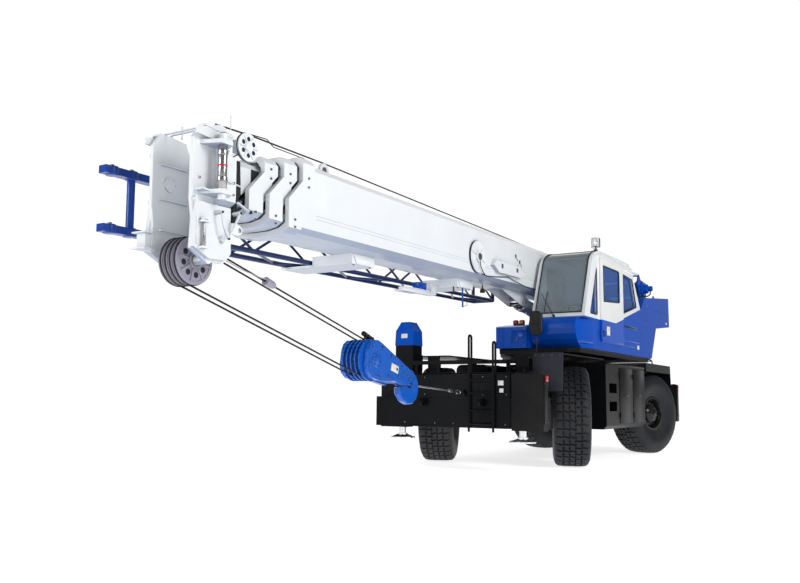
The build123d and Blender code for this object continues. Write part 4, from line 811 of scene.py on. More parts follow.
for y, drop in ((-0.06, 0.0), (0.0, 0.03), (0.06, 0.06)):
    keepers.tube([(-2.55, y, 1.94), (-2.50, y, 2.05), (-2.62, y * 1.5, 2.22 - drop),
                  (-2.95, y * 2.0, 2.30 - drop), (-3.35, y * 2.2, 2.50), (-3.60, y * 2.4, 2.62),
                  (-3.80, y * 2.4, 2.60)], 0.016, 10, 2)
keepers.piece("cheek_pins", "superstructure", "body_blue", [body_blue, bolt_zinc, hose_black], bevel=0.002)


# House and nose: pressed and folded blue sheet round the machinery. It has louvres, two pressed
# beads and a latch recess on the left with painted shade in it, a pale lilac sheet on the nose that
# is a painted reflection, and bare plates, riveted on.
dress(body_blue, "house")
# Pale lilac for the painted reflection on the nose top.
lid_painted_reflection = finish("lid_painted_reflection", (0.40, 0.46, 0.72), 0.28, coat=0.5, dusty=0.05, bump=0.03)
# Near black for dark joints and pin ends, and for painted shade: in the latch recess, under the nose lip, in
# a bore of the head and in the holes of the sheaves.
near_black_and_painted_shade = finish("near_black_and_painted_shade", (0.010, 0.012, 0.020), 0.5, dusty=0.1)
panel = Form()
# dark strip of the latch recess between two lips: painted shade in the recess
panel.box(-3.31, -2.37, 1.396, 1.4015, 2.452, 2.482, 1)
panel.box(-3.33, -2.35, 1.398, 1.404, 2.482, 2.490)
panel.box(-3.33, -2.35, 1.398, 1.403, 2.446, 2.452)
for x0, x1, z in ((-3.46, -2.20, 2.200), (-3.12, -2.28, 2.098)):
    panel.tube([(x0, 1.396, z), ((x0 + x1) / 2, 1.396, z), (x1, 1.396, z)], 0.008, 12)
panel.box(-3.450, -3.310, 1.398, 1.402, 2.075, 2.155, 2)
panel.bolts([(x, 1.402, z) for x in (-3.44, -3.32) for z in (2.085, 2.145)], (0, 1, 0), 0.003, 3)
for x in (-1.04, -3.64):
    panel.box(x - 0.004, x + 0.004, 1.399, 1.4012, 1.96, 2.44, 1)
panel.box(-4.16, -3.85, 1.3985, 1.4025, 3.012, 3.022)
for k in range(9):
    z = 2.66 + 0.04 * k
    panel.prism([(1.388, z), (1.402, z + 0.002), (1.402, z - 0.004), (1.390, z - 0.006)], "x", -4.125, -3.885)
    panel.prism([(-1.388, z - 0.42), (-1.402, z - 0.418), (-1.402, z - 0.424), (-1.390, z - 0.426)], "x",
                -4.075, -3.485)
# front lip that turns under the rolled nose, and the black strip below it: part dark seam, part painted shade
# under the lip
panel.rings([[Vector((x, y, z)) for y in (0.452, 1.23)] + [Vector((x - 0.010, y, z - 0.004))
                                                           for y in (1.23, 0.452)] for x, z in ((-0.171,
        2.018), (-0.208, 1.985), (-0.244, 1.945))], 1)
# cover plate that closes the slanting front corner below the cab
cover_rings = []
for z, x in ((2.435, -0.142), (2.408, -0.114), (2.350, -0.092), (2.270, -0.088), (2.170, -0.098),
             (2.080, -0.126), (2.020, -0.165)):
    edge = [(at, 1.25 - 0.3 * at if at > -0.15 else 1.2598 - 0.2340 * at)
            for at in (x, min(-0.15, x - 0.01), -0.60)]
    cover_rings.append([Vector((at, y + 0.0015, z)) for at, y in edge] + [Vector((at, y - 0.004, z))
            for at, y in reversed(edge)])
panel.rings(cover_rings)
panel.bolts([(-0.22, 1.3128, z) for z in (2.06, 2.40)] + [(-0.56, 1.3923, z) for z in (2.06, 2.40)],
            (0.228, 0.974, 0), 0.006, 3)
panel.piece("house_panels", "superstructure", "body_blue", [body_blue, near_black_and_painted_shade, plate_white, bolt_zinc],
            bevel=0.0012)
# Thin pale lilac sheet over the nose top: a painted reflection on the blue.
nose_reflection_sheet = Form()
nose_reflection_sheet.prism([(0.004, 2.308), (0.006, 2.316), (-0.330, 2.3715), (-0.695, 2.208), (-0.69, 2.202),
                (-0.330, 2.364)], "y", -0.105, 0.438)
nose_reflection_sheet.prism([(0.0, 2.300), (0.006, 2.300), (0.006, 2.316), (0.0, 2.314)], "y", -0.105, 0.438)
nose_reflection_sheet.piece("nose_reflection_sheet", "superstructure", "body_blue", [lid_painted_reflection], bevel=0.002)
nose_trim = Form()
nose_trim.box(-0.002, 0.0015, 0.165, 0.455, 2.02, 2.24)
nose_trim.box(0.0, 0.006, 0.02, 0.03, 1.97, 2.27)
for y in (0.06, 0.40):
    nose_trim.bolts([(0.0015, y, z) for z in (1.99, 2.26)], (1, 0, 0), 0.007, 1)
nose_trim.rod((0.012, 0.20, 2.235), (0.012, 0.42, 2.235), 0.006)
nose_trim.tube([(0.0, 0.28, 2.05), (0.03, 0.28, 2.05), (0.03, 0.28, 2.13), (0.0, 0.28, 2.13)], 0.006, 8, 1)
nose_trim.piece("nose_front", "superstructure", "body_blue", [body_blue, bolt_zinc], bevel=0.0015)
nose_lamps = Form()
for y0, y1, skin in ((0.095, 0.170, 0), (0.212, 0.287, 1)):
    middle = (y0 + y1) / 2
    nose_lamps.lathe([(0.0, -0.036), (0.022, -0.0355), (0.0425, -0.028), (0.0425, 0.0), (0.0425, 0.028),
                      (0.022, 0.0355), (0.0, 0.036)], (-0.28, middle, 2.405), (0, 1, 0), 32, skin)
    nose_lamps.lathe([(0.0445, -0.004), (0.0445, 0.004), (0.040, 0.004), (0.040, -0.004)],
                     (-0.28, middle, 2.405), (0, 1, 0), 32, 2, closed=True)
nose_lamps.piece("nose_lamps", "superstructure", "tinted_glass", [lens_red, lens_orange, lamp_plastic])


# Counterweight: one casting across the rear, filled and painted, with lifting eyes on its top and
# a work lamp below it. A bent tube at its left carries a step.
dress(body_blue, "counterweight")
weight_trim = Form()
for y in (-1.15, 1.15):
    weight_trim.lathe([(0.018, -0.012), (0.045, -0.012), (0.045, 0.012), (0.018, 0.012)], (-5.60, y, 3.360),
                      (0, 1, 0), 24, closed=True)
for y in (-0.9, 0.9):
    weight_trim.bolts([(-5.99, y, z) for z in (2.85, 3.20)], (-1, 0, 0), 0.020, 1)
weight_trim.box(-5.985, -4.80, 1.3995, 1.4015, 2.986, 2.992, 2)
weight_trim.box(-5.72, -5.62, 1.399, 1.403, 2.76, 2.80, 3)
weight_trim.piece("counterweight_trim", "superstructure", "body_blue",
                  [body_blue, bolt_zinc, near_black_and_painted_shade, plate_white], bevel=0.002)
rear_lamp = Form()
rear_lamp.lathe([(0.0, -0.07), (0.05, -0.065), (0.085, -0.03), (0.09, 0.02), (0.09, 0.035), (0.0, 0.035)],
                (-4.60, 1.12, 2.24), (-1, 0, 0.25), 32)
rear_lamp.lathe([(0.0, 0.035), (0.083, 0.035), (0.07, 0.048), (0.0, 0.056)], (-4.60, 1.12, 2.24),
                (-1, 0, 0.25), 32, 1)
rear_lamp.rod((-4.60, 1.12, 2.31), (-4.53, 1.12, 2.40), 0.012)
rear_lamp.piece("rear_work_lamp", "superstructure", "bare_steel", [plate_white, lamp_glass], bevel=0.001)
step_tube = Form()
step_tube.tube([(-4.20, 1.30, 1.90), (-4.34, 1.36, 1.93), (-4.52, 1.36, 1.90), (-4.62, 1.36, 1.72),
                (-4.60, 1.22, 1.66), (-4.40, 1.20, 1.66)], 0.014, 12)
step_tube.tube([(-4.52, 1.36, 1.90), (-4.52, 1.22, 1.90), (-4.24, 1.18, 1.90)], 0.014, 12)
step_tube.piece("rear_step_tube", "superstructure", "chassis_black", [chassis_black])


# Winches: two drums on the tail between pointed brackets, each with flanges and a gear motor, wound
# with wire rope in even turns. The rope's surface shows its laid strands.
dress(body_blue, "winches")
rope_black = finish("rope_black", (0.012, 0.012, 0.013), 0.42, dusty=0.0, grain=220.0, bump=0.35, metal=0.3)
rope_steel = finish("rope_steel", (0.030, 0.030, 0.032), 0.45, dusty=0.2, metal=0.6)
strands = rope_steel.node_tree.nodes.new("ShaderNodeTexWave")
strands.bands_direction = "DIAGONAL"
strands.inputs["Scale"].default_value = 55.0
strands_place = rope_steel.node_tree.nodes.new("ShaderNodeTexCoord")
rope_steel.node_tree.links.new(strands_place.outputs["Object"], strands.inputs["Vector"])
raise_by(rope_steel, strands.outputs["Fac"], 0.8, 0.002)
drum_x, drum_z = -5.25, 3.53
winding = Form()
for y0, y1 in ((-0.893, -0.104), (0.102, 0.893)):
    turns = 34
    width = (y1 - y0) / turns
    profile = [(0.120, y0)]
    for k in range(turns):
        for t, lift in ((0.0, 0.0), (0.25, 0.7), (0.5, 1.0), (0.75, 0.7)):
            profile.append((0.146 + 0.010 * lift, y0 + width * (k + t)))
    profile.append((0.146, y1))
    profile.append((0.120, y1))
    winding.lathe(profile, (drum_x, 0, drum_z), (0, 1, 0), 40, closed=True)
winding.piece("rope_on_drums", "superstructure", "bare_steel", [rope_steel], smooth=60.0)
motors = Form()
for y, way in ((-1.01, -1), (1.01, 1)):
    motors.lathe([(0.0, 0.0), (0.155, 0.0), (0.155, 0.018), (0.110, 0.030), (0.100, 0.120), (0.060, 0.135),
                  (0.060, 0.215), (0.0, 0.22)], (drum_x, y, drum_z), (0, way, 0), 36)
    motors.bolts([(drum_x + 0.135 * cos(2 * pi * k / 10), y + way * 0.018,
                   drum_z + 0.135 * sin(2 * pi * k / 10)) for k in range(10)], (0, way, 0), 0.010, 1)
    motors.tube([(-5.25, y + way * 0.17, 3.47), (-5.20, y + way * 0.18, 3.40), (-5.10, y + way * 0.15, 3.345),
                 (-4.95, y, 3.33)], 0.014, 10, 2)
for y in (-0.98, -0.015, 0.015, 0.98):
    motors.lathe([(0.02, 0.0), (0.08, 0.0), (0.08, 0.012), (0.02, 0.012)], (drum_x, y, drum_z), (0, 1, 0), 28,
                 closed=True)
motors.tube([(-5.01, -0.99, 3.80), (-5.01, 0.0, 3.80), (-5.01, 0.99, 3.80)], 0.018, 12)
motors.piece("winch_motors", "superstructure", "body_blue", [body_blue, bolt_zinc, hose_black], bevel=0.0015)


# Cab: white pressed steel shell with rubber gaskets round its panes, a drip rail above the door
# and pressed ribs along its roof.
cab_white = finish("cab_white", (0.82, 0.85, 0.87), 0.26, coat=0.25, dusty=0.03, grain=30.0, bump=0.02)
gasket = finish("window_gasket", (0.012, 0.013, 0.014), 0.55, dusty=0.1, grain=260.0, bump=0.2)
dress(cab_white, "cab_shell")


def screen_line(z, proud=0.0):
    """Where the windscreen stands at a height, in the side view."""
    return -0.210 - 0.390 * (z - 2.47) / 0.93 + proud


def seal(form, corners, y, radius, skin=0, rounding=0.05):
    """Rubber strip round an opening in the plane y, with rounded corners."""
    path = []
    n = len(corners)
    for k in range(n):
        a, b, c = (Vector(corners[(k + d) % n]) for d in (-1, 0, 1))
        one, two = (a - b).normalized(), (c - b).normalized()
        cut = min(rounding, (a - b).length * 0.4, (c - b).length * 0.4)
        for t in (0.0, 0.25, 0.5, 0.75, 1.0):
            start, end = b + one * cut, b + two * cut
            point = start.lerp(b, t).lerp(b.lerp(end, t), t)
            path.append((point.x, y, point.y))
    form.tube(path, radius, 8, skin, closed=True)


seals = Form()
seal(seals, [(-0.506, 2.552), (-0.872, 2.548), (-0.872, 3.372)], 1.4005, 0.009, rounding=0.03)
seal(seals, [(-2.452, 2.714), (-3.318, 2.910), (-3.074, 3.430), (-2.452, 3.458)], 1.3940, 0.011)
seal(seals, [(-0.912, 2.632), (-1.788, 2.632), (-1.788, 3.388), (-0.912, 3.388)], 0.4495, 0.011)
bend = []
for k in range(13):
    t = k / 12
    x = (1 - t) ** 2 * -0.600 + 2 * t * (1 - t) * -0.69165 + t * t * -1.110
    z = (1 - t) ** 2 * 3.400 + 2 * t * (1 - t) * 3.672 + t * t * 3.700
    bend.append((x, z))
frame_line = [(screen_line(2.536), 2.536), (screen_line(2.97), 2.97)] + bend
around = [(x + 0.004, 1.337, z + 0.004) for x, z in frame_line] + [(x + 0.004, 0.513, z + 0.004)
                                                                   for x, z in reversed(frame_line)]
seals.tube(around, 0.011, 8, closed=True)
rear_x = [-3.150 - (3.48 - z) * (0.440 / (3.48 - 2.893)) for z in (3.03, 3.43)]
seals.tube([(rear_x[0] - 0.002, 0.59, 3.03), (rear_x[0] - 0.002, 1.26, 3.03), (rear_x[1] - 0.002, 1.26, 3.43),
            (rear_x[1] - 0.002, 0.59, 3.43)], 0.010, 8, closed=True)
seals.piece("window_seals", "superstructure", "dark_plastic", [gasket])
cab_trim = Form()
cab_trim.tube([(-0.98, 1.403, 3.590), (-1.02, 1.408, 3.640), (-1.20, 1.410, 3.664), (-2.80, 1.410, 3.672),
               (-2.98, 1.408, 3.648), (-3.06, 1.403, 3.60)], 0.008, 10)
cab_trim.tube([(-0.60, 1.402, 3.405), (-0.70, 1.404, 3.52), (-0.85, 1.405, 3.60), (-1.02, 1.404, 3.635)],
              0.006, 8)
for y in (0.62, 0.90, 1.18):
    cab_trim.prism([(-1.40, 3.698), (-1.36, 3.706), (-2.70, 3.722), (-2.76, 3.712)], "y", y - 0.025,
                   y + 0.025)
cab_trim.prism([(-1.55, 3.699), (-1.60, 3.722), (-2.12, 3.726), (-2.18, 3.701)], "y", 0.72, 1.08)
cab_trim.piece("cab_roof_trim", "superstructure", "boom_white", [cab_white], bevel=0.0025)


# Panes: tinted safety glass, curved over the top of the windscreen, held in the rubber seals. The
# side panes are a deeper blue than the screen. One wiper sweeps the screen from the belt.
def tinted(name, colour, deep, edge_at):
    """Clear glass with a tint that deepens past a way across the cab."""
    material = bpy.data.materials.new(name)
    material.use_nodes = True
    tree = material.node_tree
    shader = tree.nodes["Principled BSDF"]
    shader.inputs["Roughness"].default_value = 0.015
    shader.inputs["Transmission Weight"].default_value = 0.78
    shader.inputs["IOR"].default_value = 1.45
    place = tree.nodes.new("ShaderNodeTexCoord")
    haze = tree.nodes.new("ShaderNodeTexNoise")
    haze.inputs["Scale"].default_value = 2.2
    tree.links.new(place.outputs["Object"], haze.inputs["Vector"])
    mix = tree.nodes.new("ShaderNodeMix")
    mix.data_type = "RGBA"
    mix.inputs["A"].default_value = (*colour, 1.0)
    mix.inputs["B"].default_value = (*deep, 1.0)
    tree.links.new(graded(tree, split_of(tree)["Y"], edge_at, edge_at + 0.004), mix.inputs["Factor"])
    scaled = tree.nodes.new("ShaderNodeVectorMath")
    scaled.operation = "SCALE"
    tree.links.new(mix.outputs["Result"], scaled.inputs[0])
    tree.links.new(graded(tree, haze.outputs["Fac"], 0.0, 1.0, 0.92, 1.06), scaled.inputs["Scale"])
    tree.links.new(scaled.outputs["Vector"], shader.inputs["Base Color"])
    return material


pane_glass = tinted("pane_glass", (0.64, 0.74, 0.78), (0.07, 0.28, 0.85), 1.350)
dress(pane_glass, "cab_glass", "door_glass")
wiper = Form()
low = Vector((screen_line(2.485, 0.036), 0.86, 2.485))
tip = Vector((screen_line(2.90, 0.026), 0.58, 2.90))
wiper.lathe([(0.0, 0.0), (0.022, 0.0), (0.020, 0.03), (0.0, 0.034)], tuple(low - Vector((0.03, 0, 0))),
            (1, 0, 0.4), 20)
wiper.tube([low, low.lerp(tip, 0.5) + Vector((0.012, 0, 0)), tip], 0.007, 8, end_radius=0.0045)
middle = low.lerp(tip, 0.62)
along = (tip - low).normalized()
wiper.prism([(middle.x + along.x * t + dx, middle.z + along.z * t)
             for t, dx in ((-0.24, -0.002), (0.26, -0.002), (0.25, 0.006), (-0.23, 0.006))], "y",
            middle.y - 0.006, middle.y + 0.006)
wiper.piece("wiper", "superstructure", "dark_plastic", [gasket], bevel=0.001)


# Cab inside: a sprung seat in dark cloth on a plinth, lever consoles beside it, a sloping dash with
# a blank screen hood, and a steering wheel on a leaning column. Moulded dark grey plastic.
cloth = finish("seat_cloth", (0.030, 0.034, 0.045), 0.9, dusty=0.05, grain=420.0, bump=0.6, depth=0.0015)
cabin_grey = finish("cabin_plastic", (0.085, 0.090, 0.095), 0.5, dusty=0.05, grain=240.0, bump=0.25)
trim_light = finish("cabin_lining", (0.30, 0.31, 0.31), 0.7, dusty=0.02, grain=200.0, bump=0.2)


def pad(name, wide, deep, thick, place, roll):
    """Crowned cushion with rounded edges, two sewn channels and side rolls, about its own middle."""
    form = Form()
    rows, columns = 30, 26
    top, low_side = [], []
    for i in range(rows + 1):
        u = i / rows * 2 - 1
        for j in range(columns + 1):
            v = j / columns * 2 - 1
            square_u, square_v = abs(u) ** 5, abs(v) ** 5
            edge = max(0.0, 1 - square_u) ** 0.5 * max(0.0, 1 - square_v) ** 0.5
            pull = 1 - 0.025 * (1 - abs(u))
            crown = 0.30 + 0.70 * edge
            bolster = roll * max(0.0, abs(v) - 0.62) / 0.38 * (1 - abs(v)) * 4
            seam = sum(0.010 * max(0.0, 1 - abs(u - at) / 0.045) for at in (-0.34, 0.34)) * (1
                    if abs(v) < 0.7 else 0)
            seam += 0.012 * max(0.0, 1 - abs(abs(v) - 0.64) / 0.05)
            x = u * deep / 2 * (0.985 if abs(u) == 1 else 1.0)
            y = v * wide / 2 * (0.985 if abs(v) == 1 else 1.0) * pull
            top.append((x, y, thick / 2 * crown - seam + bolster * 0.6 - thick * 0.02))
            low_side.append((x, y, -thick / 2 * (0.75 + 0.25 * edge)))
    n = (rows + 1) * (columns + 1)
    faces = []
    for i in range(rows):
        for j in range(columns):
            a = i * (columns + 1) + j
            faces.append((a, a + 1, a + columns + 2, a + columns + 1))
            faces.append((n + a + columns + 1, n + a + columns + 2, n + a + 1, n + a))
    rim = [(0, j) for j in range(columns)] + [(i, columns) for i in range(rows)]
    rim += [(rows, j) for j in range(columns, 0, -1)] + [(i, 0) for i in range(rows, 0, -1)]
    for k in range(len(rim)):
        a = rim[k][0] * (columns + 1) + rim[k][1]
        b = rim[(k + 1) % len(rim)][0] * (columns + 1) + rim[(k + 1) % len(rim)][1]
        faces.append((b, a, n + a, n + b))
    form.add(top + low_side, faces)
    thing = form.piece(name, "superstructure", "dark_plastic", [cloth], place, smooth=70.0)
    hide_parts("cab_interior")
    return thing


pad("seat_cushion", 0.48, 0.51, 0.125, on_carrier @ Matrix.Translation((-2.065, 0.925, 2.375)), 0.020)
lean_back = on_carrier @ Matrix.Translation((-2.392, 0.925, 2.775)) @ Matrix.Rotation(radians(78), 4,
        "Y") @ Matrix.Rotation(radians(180), 4, "Z")
pad("seat_back", 0.46, 0.68, 0.095, lean_back, 0.018)
seat_frame = Form()
seat_frame.box(-2.25, -1.85, 0.745, 1.105, 2.012, 2.06)
for k in range(5):
    z = 2.06 + 0.045 * k
    half = 0.150 if k % 2 else 0.165
    seat_frame.box(-2.05 - half, -2.05 + half, 0.925 - half, 0.925 + half, z, z + 0.045, 0)
seat_frame.box(-2.27, -1.83, 0.70, 1.15, 2.285, 2.312, 1)
seat_frame.box(-2.42, -2.36, 0.74, 1.11, 2.30, 2.42, 1)
for y in (0.655, 1.195):
    seat_frame.rings([[Vector((x, y + dy, z + dz))
                       for dy, dz in ((-0.025, 0.0), (0.025, 0.0), (0.025, 0.035), (0.015, 0.045),
                                      (-0.015, 0.045), (-0.025, 0.035))]
                      for x, z in ((-2.36, 2.60), (-2.25, 2.62), (-2.05, 2.62), (-1.98, 2.605))])
seat_frame.piece("seat_frame", "superstructure", "dark_plastic", [cabin_grey, gasket], bevel=0.004)
consoles = Form()
for y in (0.585, 1.265):
    outline = [(-2.20, 2.012), (-1.66, 2.012), (-1.65, 2.40), (-1.70, 2.52), (-1.95, 2.565), (-2.18, 2.50)]
    consoles.prism(outline, "y", y - 0.058, y + 0.058)
    for x in (-1.76, -1.88):
        consoles.lathe([(0.0, 0.0), (0.030, 0.0), (0.024, 0.02), (0.012, 0.045), (0.0, 0.05)], (x, y, 2.535),
                       (0, 0, 1), 20, 1)
        consoles.rod((x, y, 2.55), (x + 0.02, y, 2.70), 0.006, 10, skin=1)
        consoles.lathe([(0.0, -0.03), (0.016, -0.025), (0.021, 0.0), (0.017, 0.022), (0.0, 0.03)],
                       (x + 0.022, y, 2.72), (0, 0, 1), 18, 1)
    for k in range(4):
        consoles.box(-2.12 + 0.04 * k, -2.10 + 0.04 * k, y - 0.03, y + 0.03, 2.525, 2.548, 1)
consoles.prism([(-0.70, 2.012), (-0.70, 2.42), (-0.82, 2.560), (-1.00, 2.565), (-1.02, 2.50), (-0.88, 2.42),
                (-0.86, 2.012)], "y", 0.545, 1.305)
consoles.prism([(-0.82, 2.56), (-0.84, 2.63), (-0.99, 2.64), (-1.01, 2.56)], "y", 0.60, 0.84)
consoles.prism([(-1.012, 2.545), (-0.995, 2.55), (-0.995, 2.63), (-1.008, 2.63)], "y", 0.62, 0.82, 1)
consoles.rod((-1.06, 0.925, 2.03), (-1.30, 0.925, 2.690), 0.034, 20, skin=1)
consoles.box(-1.115, -1.005, 0.87, 0.98, 2.012, 2.045, 1)
for y in (0.78, 1.06):
    consoles.prism([(-1.02, 2.07), (-1.10, 2.05), (-1.11, 2.07), (-1.03, 2.17)], "y", y - 0.035, y + 0.035, 1)
consoles.piece("lever_consoles", "superstructure", "dark_plastic", [cabin_grey, gasket], bevel=0.006)
lining = Form()
lining.box(-3.05, -0.42, 0.487, 1.363, 2.003, 2.011, 1)
lining.prism([(-1.20, 3.62), (-2.80, 3.638), (-2.80, 3.646), (-1.20, 3.630)], "y", 0.50, 1.35)
lining.prism([(-2.93, 2.80), (-3.07, 2.80), (-3.07, 2.04), (-2.93, 2.04)], "y", 0.50, 1.35)
lining.piece("cab_lining", "superstructure", "dark_plastic", [trim_light, gasket], bevel=0.004)
steering = Form()
wheel_axis = Vector((-0.250, 0, 0.680)).normalized()
steer_at = Vector((-1.30, 0.925, 2.690))
one = wheel_axis.orthogonal().normalized()
two = wheel_axis.cross(one)
steering.tube([steer_at + (one * cos(2 * pi * k / 40) + two * sin(2 * pi * k / 40)) * 0.185
               for k in range(40)], 0.0155, 12, closed=True)
for k in range(3):
    direction = one * cos(2 * pi * k / 3) + two * sin(2 * pi * k / 3)
    steering.tube([steer_at - wheel_axis * 0.012, steer_at + direction * 0.09 - wheel_axis * 0.008,
                   steer_at + direction * 0.18], 0.011, 10)
steering.lathe([(0.0, -0.03), (0.045, -0.02), (0.048, 0.004), (0.03, 0.016), (0.0, 0.018)], tuple(steer_at),
               tuple(wheel_axis), 28)
steering.lathe([(0.0, 0.0), (0.014, 0.0), (0.016, 0.03), (0.010, 0.045), (0.0, 0.047)],
               tuple(steer_at + one * 0.185), tuple(wheel_axis), 16)
steering.piece("steering_wheel", "superstructure", "dark_plastic", [gasket])


# Sliding door: a flat pressed skin outside the cab wall, white above the belt line and blue below,
# with its pane in a rubber seal. It runs on a rail above and on rollers at its foot.
def two_tone():
    """White paint above the belt line, which rises behind its kink, and body blue below it."""
    group = bpy.data.node_groups.new("belt_line", "ShaderNodeTree")
    group.interface.new_socket("Above", in_out="INPUT", socket_type="NodeSocketColor")
    group.interface.new_socket("Below", in_out="INPUT", socket_type="NodeSocketColor")
    group.interface.new_socket("Colour", in_out="OUTPUT", socket_type="NodeSocketColor")
    node, link = group.nodes.new, group.links.new
    given, result = node("NodeGroupInput"), node("NodeGroupOutput")
    at = split_of(group)
    over = node("ShaderNodeMath")
    over.operation = "SUBTRACT"
    link(at["Z"], over.inputs[0])
    link(graded(group, at["X"], -1.83 + front_axle, -3.66 + front_axle, 2.47, 2.91), over.inputs[1])
    sharp = node("ShaderNodeMath")
    sharp.operation = "MULTIPLY"
    sharp.use_clamp = True
    sharp.inputs[1].default_value = 2000.0
    link(over.outputs["Value"], sharp.inputs[0])
    mix = node("ShaderNodeMix")
    mix.data_type = "RGBA"
    link(sharp.outputs["Value"], mix.inputs["Factor"])
    link(given.outputs["Below"], mix.inputs["A"])
    link(given.outputs["Above"], mix.inputs["B"])
    link(mix.outputs["Result"], result.inputs["Colour"])
    return group


def wear_of(material):
    """The node that holds the shared weathering in a material."""
    return [n for n in material.node_tree.nodes if n.type == "GROUP" and n.node_tree == weathered][0]


door_paint = finish("door_paint", (0.82, 0.85, 0.87), 0.26, coat=0.25, dusty=0.03, grain=30.0, bump=0.02)
belt = door_paint.node_tree.nodes.new("ShaderNodeGroup")
belt.node_tree = two_tone()
belt.inputs["Above"].default_value = (0.86, 0.87, 0.87, 1)
belt.inputs["Below"].default_value = (0.005, 0.085, 0.52, 1)
door_paint.node_tree.links.new(belt.outputs["Colour"], wear_of(door_paint).inputs["Colour"])
dress(door_paint, "cab_door")
door_trim = Form()
seal(door_trim, [(-1.142, 2.806), (-1.142, 3.440), (-2.068, 3.449), (-2.068, 2.870)], 1.4365, 0.010, 1)
door_trim.box(-0.995, -0.975, 1.4365, 1.441, 2.155, 2.300, 0)
door_trim.prism([(-1.075, 2.165), (-1.140, 2.165), (-1.140, 2.290), (-1.075, 2.290)], "y", 1.434, 1.4385, 1)
door_trim.tube([(-1.1075, 1.438, 2.18), (-1.1075, 1.462, 2.19), (-1.1075, 1.464, 2.23),
                (-1.1075, 1.462, 2.265), (-1.1075, 1.438, 2.275)], 0.008, 10)
door_trim.box(-1.46, -1.28, 1.4345, 1.4385, 2.215, 2.375, 2)
door_trim.bolts([(x, 1.4385, z) for x in (-1.45, -1.29) for z in (2.225, 2.365)], (0, 1, 0), 0.004, 3)
door_trim.box(-2.305, -1.045, 1.4345, 1.4375, 2.098, 2.110, 0)
for x in (-1.10, -2.25):
    door_trim.rod((x, 1.390, 2.095), (x, 1.410, 2.095), 0.022, 18, skin=3)
door_trim.piece("door_trim", "door", "body_blue", [body_blue, gasket, plate_white, bolt_zinc], bevel=0.001)


# Cab fittings: a square work lamp on the roof, a convex mirror in a dark shell on a bent stay in
# front of the cab's inner corner, and the clamps that hold the stay.
dress(lamp_plastic, "cab_fittings")
lamp_rim = finish("lamp_rim", (0.42, 0.43, 0.44), 0.3, dusty=0.1, metal=0.7)
roof_lamp = Form()
roof_lamp.rings([[Vector((x, 1.370 + dy * g, 3.8375 + dz * g))
                  for dy, dz in ((-0.062, -0.078), (0.062, -0.078), (0.072, -0.066), (0.072, 0.066),
                                 (0.062, 0.078), (-0.062, 0.078), (-0.072, 0.066), (-0.072, -0.066))]
                 for x, g in ((-1.001, 0.70), (-0.985, 0.96), (-0.930, 0.985), (-0.918, 0.985),
                              (-0.918, 0.82), (-0.930, 0.82))], 0)
roof_lamp.rings([[Vector((x, 1.370 + dy * g, 3.8375 + dz * g))
                  for dy, dz in ((-0.058, -0.066), (0.058, -0.066), (0.058, 0.066), (-0.058, 0.066))]
                 for x, g in ((-0.931, 0.99), (-0.924, 0.99), (-0.920, 0.80))], 1)
for y in (1.345, 1.395):
    roof_lamp.box(-0.920, -0.915, y - 0.004, y + 0.004, 3.772, 3.903, 0)
roof_lamp.box(-0.920, -0.915, 1.31, 1.43, 3.834, 3.841, 0)
roof_lamp.tube([(-0.965, 1.295, 3.80), (-0.965, 1.295, 3.745), (-0.965, 1.34, 3.735), (-0.965, 1.40, 3.735),
                (-0.965, 1.445, 3.745), (-0.965, 1.445, 3.80)], 0.007, 8, 2)
roof_lamp.piece("roof_work_lamp", "superstructure", "bare_steel", [lamp_rim, lamp_glass, bolt_zinc],
                bevel=0.0015)
mirror_glass = finish("mirror_glass", (0.80, 0.82, 0.84), 0.03, dusty=0.02, metal=1.0, bump=0.01)
mirror = Form()
oval = []
for k in range(32):
    angle = 2 * pi * k / 32
    cy, cz = cos(angle), sin(angle)
    power = (abs(cy) ** 3.2 + abs(cz) ** 3.2) ** (-1 / 3.2)
    oval.append((cy * power, cz * power))
mirror.rings([[Vector((x, 0.640 + y * 0.100 * g, 2.350 + z * 0.198 * g)) for y, z in oval]
              for x, g in ((0.0225, 0.99), (0.018, 0.985), (0.0165, 0.90), (0.0160, 0.5))], 1)
mirror.rings([[Vector((x, 0.640 + y * 0.1125 * g, 2.350 + z * 0.210 * g)) for y, z in oval]
              for x, g in ((0.022, 1.0), (0.034, 1.012), (0.046, 1.0))], 0, capped=False)
mirror.lathe([(0.0, 0.0), (0.026, 0.0), (0.022, 0.016), (0.0, 0.020)], (0.074, 0.640, 2.350), (1, 0, 0), 20)
for z in (2.16, 2.50):
    mirror.box(0.020, 0.040, 0.622, 0.658, z - 0.014, z + 0.014)
mirror.rod((0.055, 0.640, 2.13), (0.055, 0.640, 2.02), 0.009, 12)
mirror.piece("mirror_shell", "superstructure", "dark_plastic", [lamp_plastic, mirror_glass], bevel=0.001)


# Boom: four box sections of pressed steel, each drawn to a keel below and closed by a stepped
# collar, white outside, with painted shade, a dull lilac grey, on the faces that look down. Rubber
# wipers sit in the gaps of the collars.
on_boom = on_carrier @ Matrix.Translation((-4.0, 0, 3.24)) @ Matrix.Rotation(radians(1), 4, "Y")
boom_white = finish("boom_white", (0.80, 0.83, 0.86), 0.30, coat=0.2, dusty=0.0, grain=26.0, bump=0.02)


def underside_shade():
    """How far a face looks down, in the piece's own frame, from 0 to 1; it masks the painted shade beneath.
    """
    group = bpy.data.node_groups.new("underside_shade", "ShaderNodeTree")
    group.interface.new_socket("Mask", in_out="OUTPUT", socket_type="NodeSocketFloat")
    result = group.nodes.new("NodeGroupOutput")
    group.links.new(graded(group, split_of(group, "Normal")["Z"], -0.15, -0.55), result.inputs["Mask"])
    return group


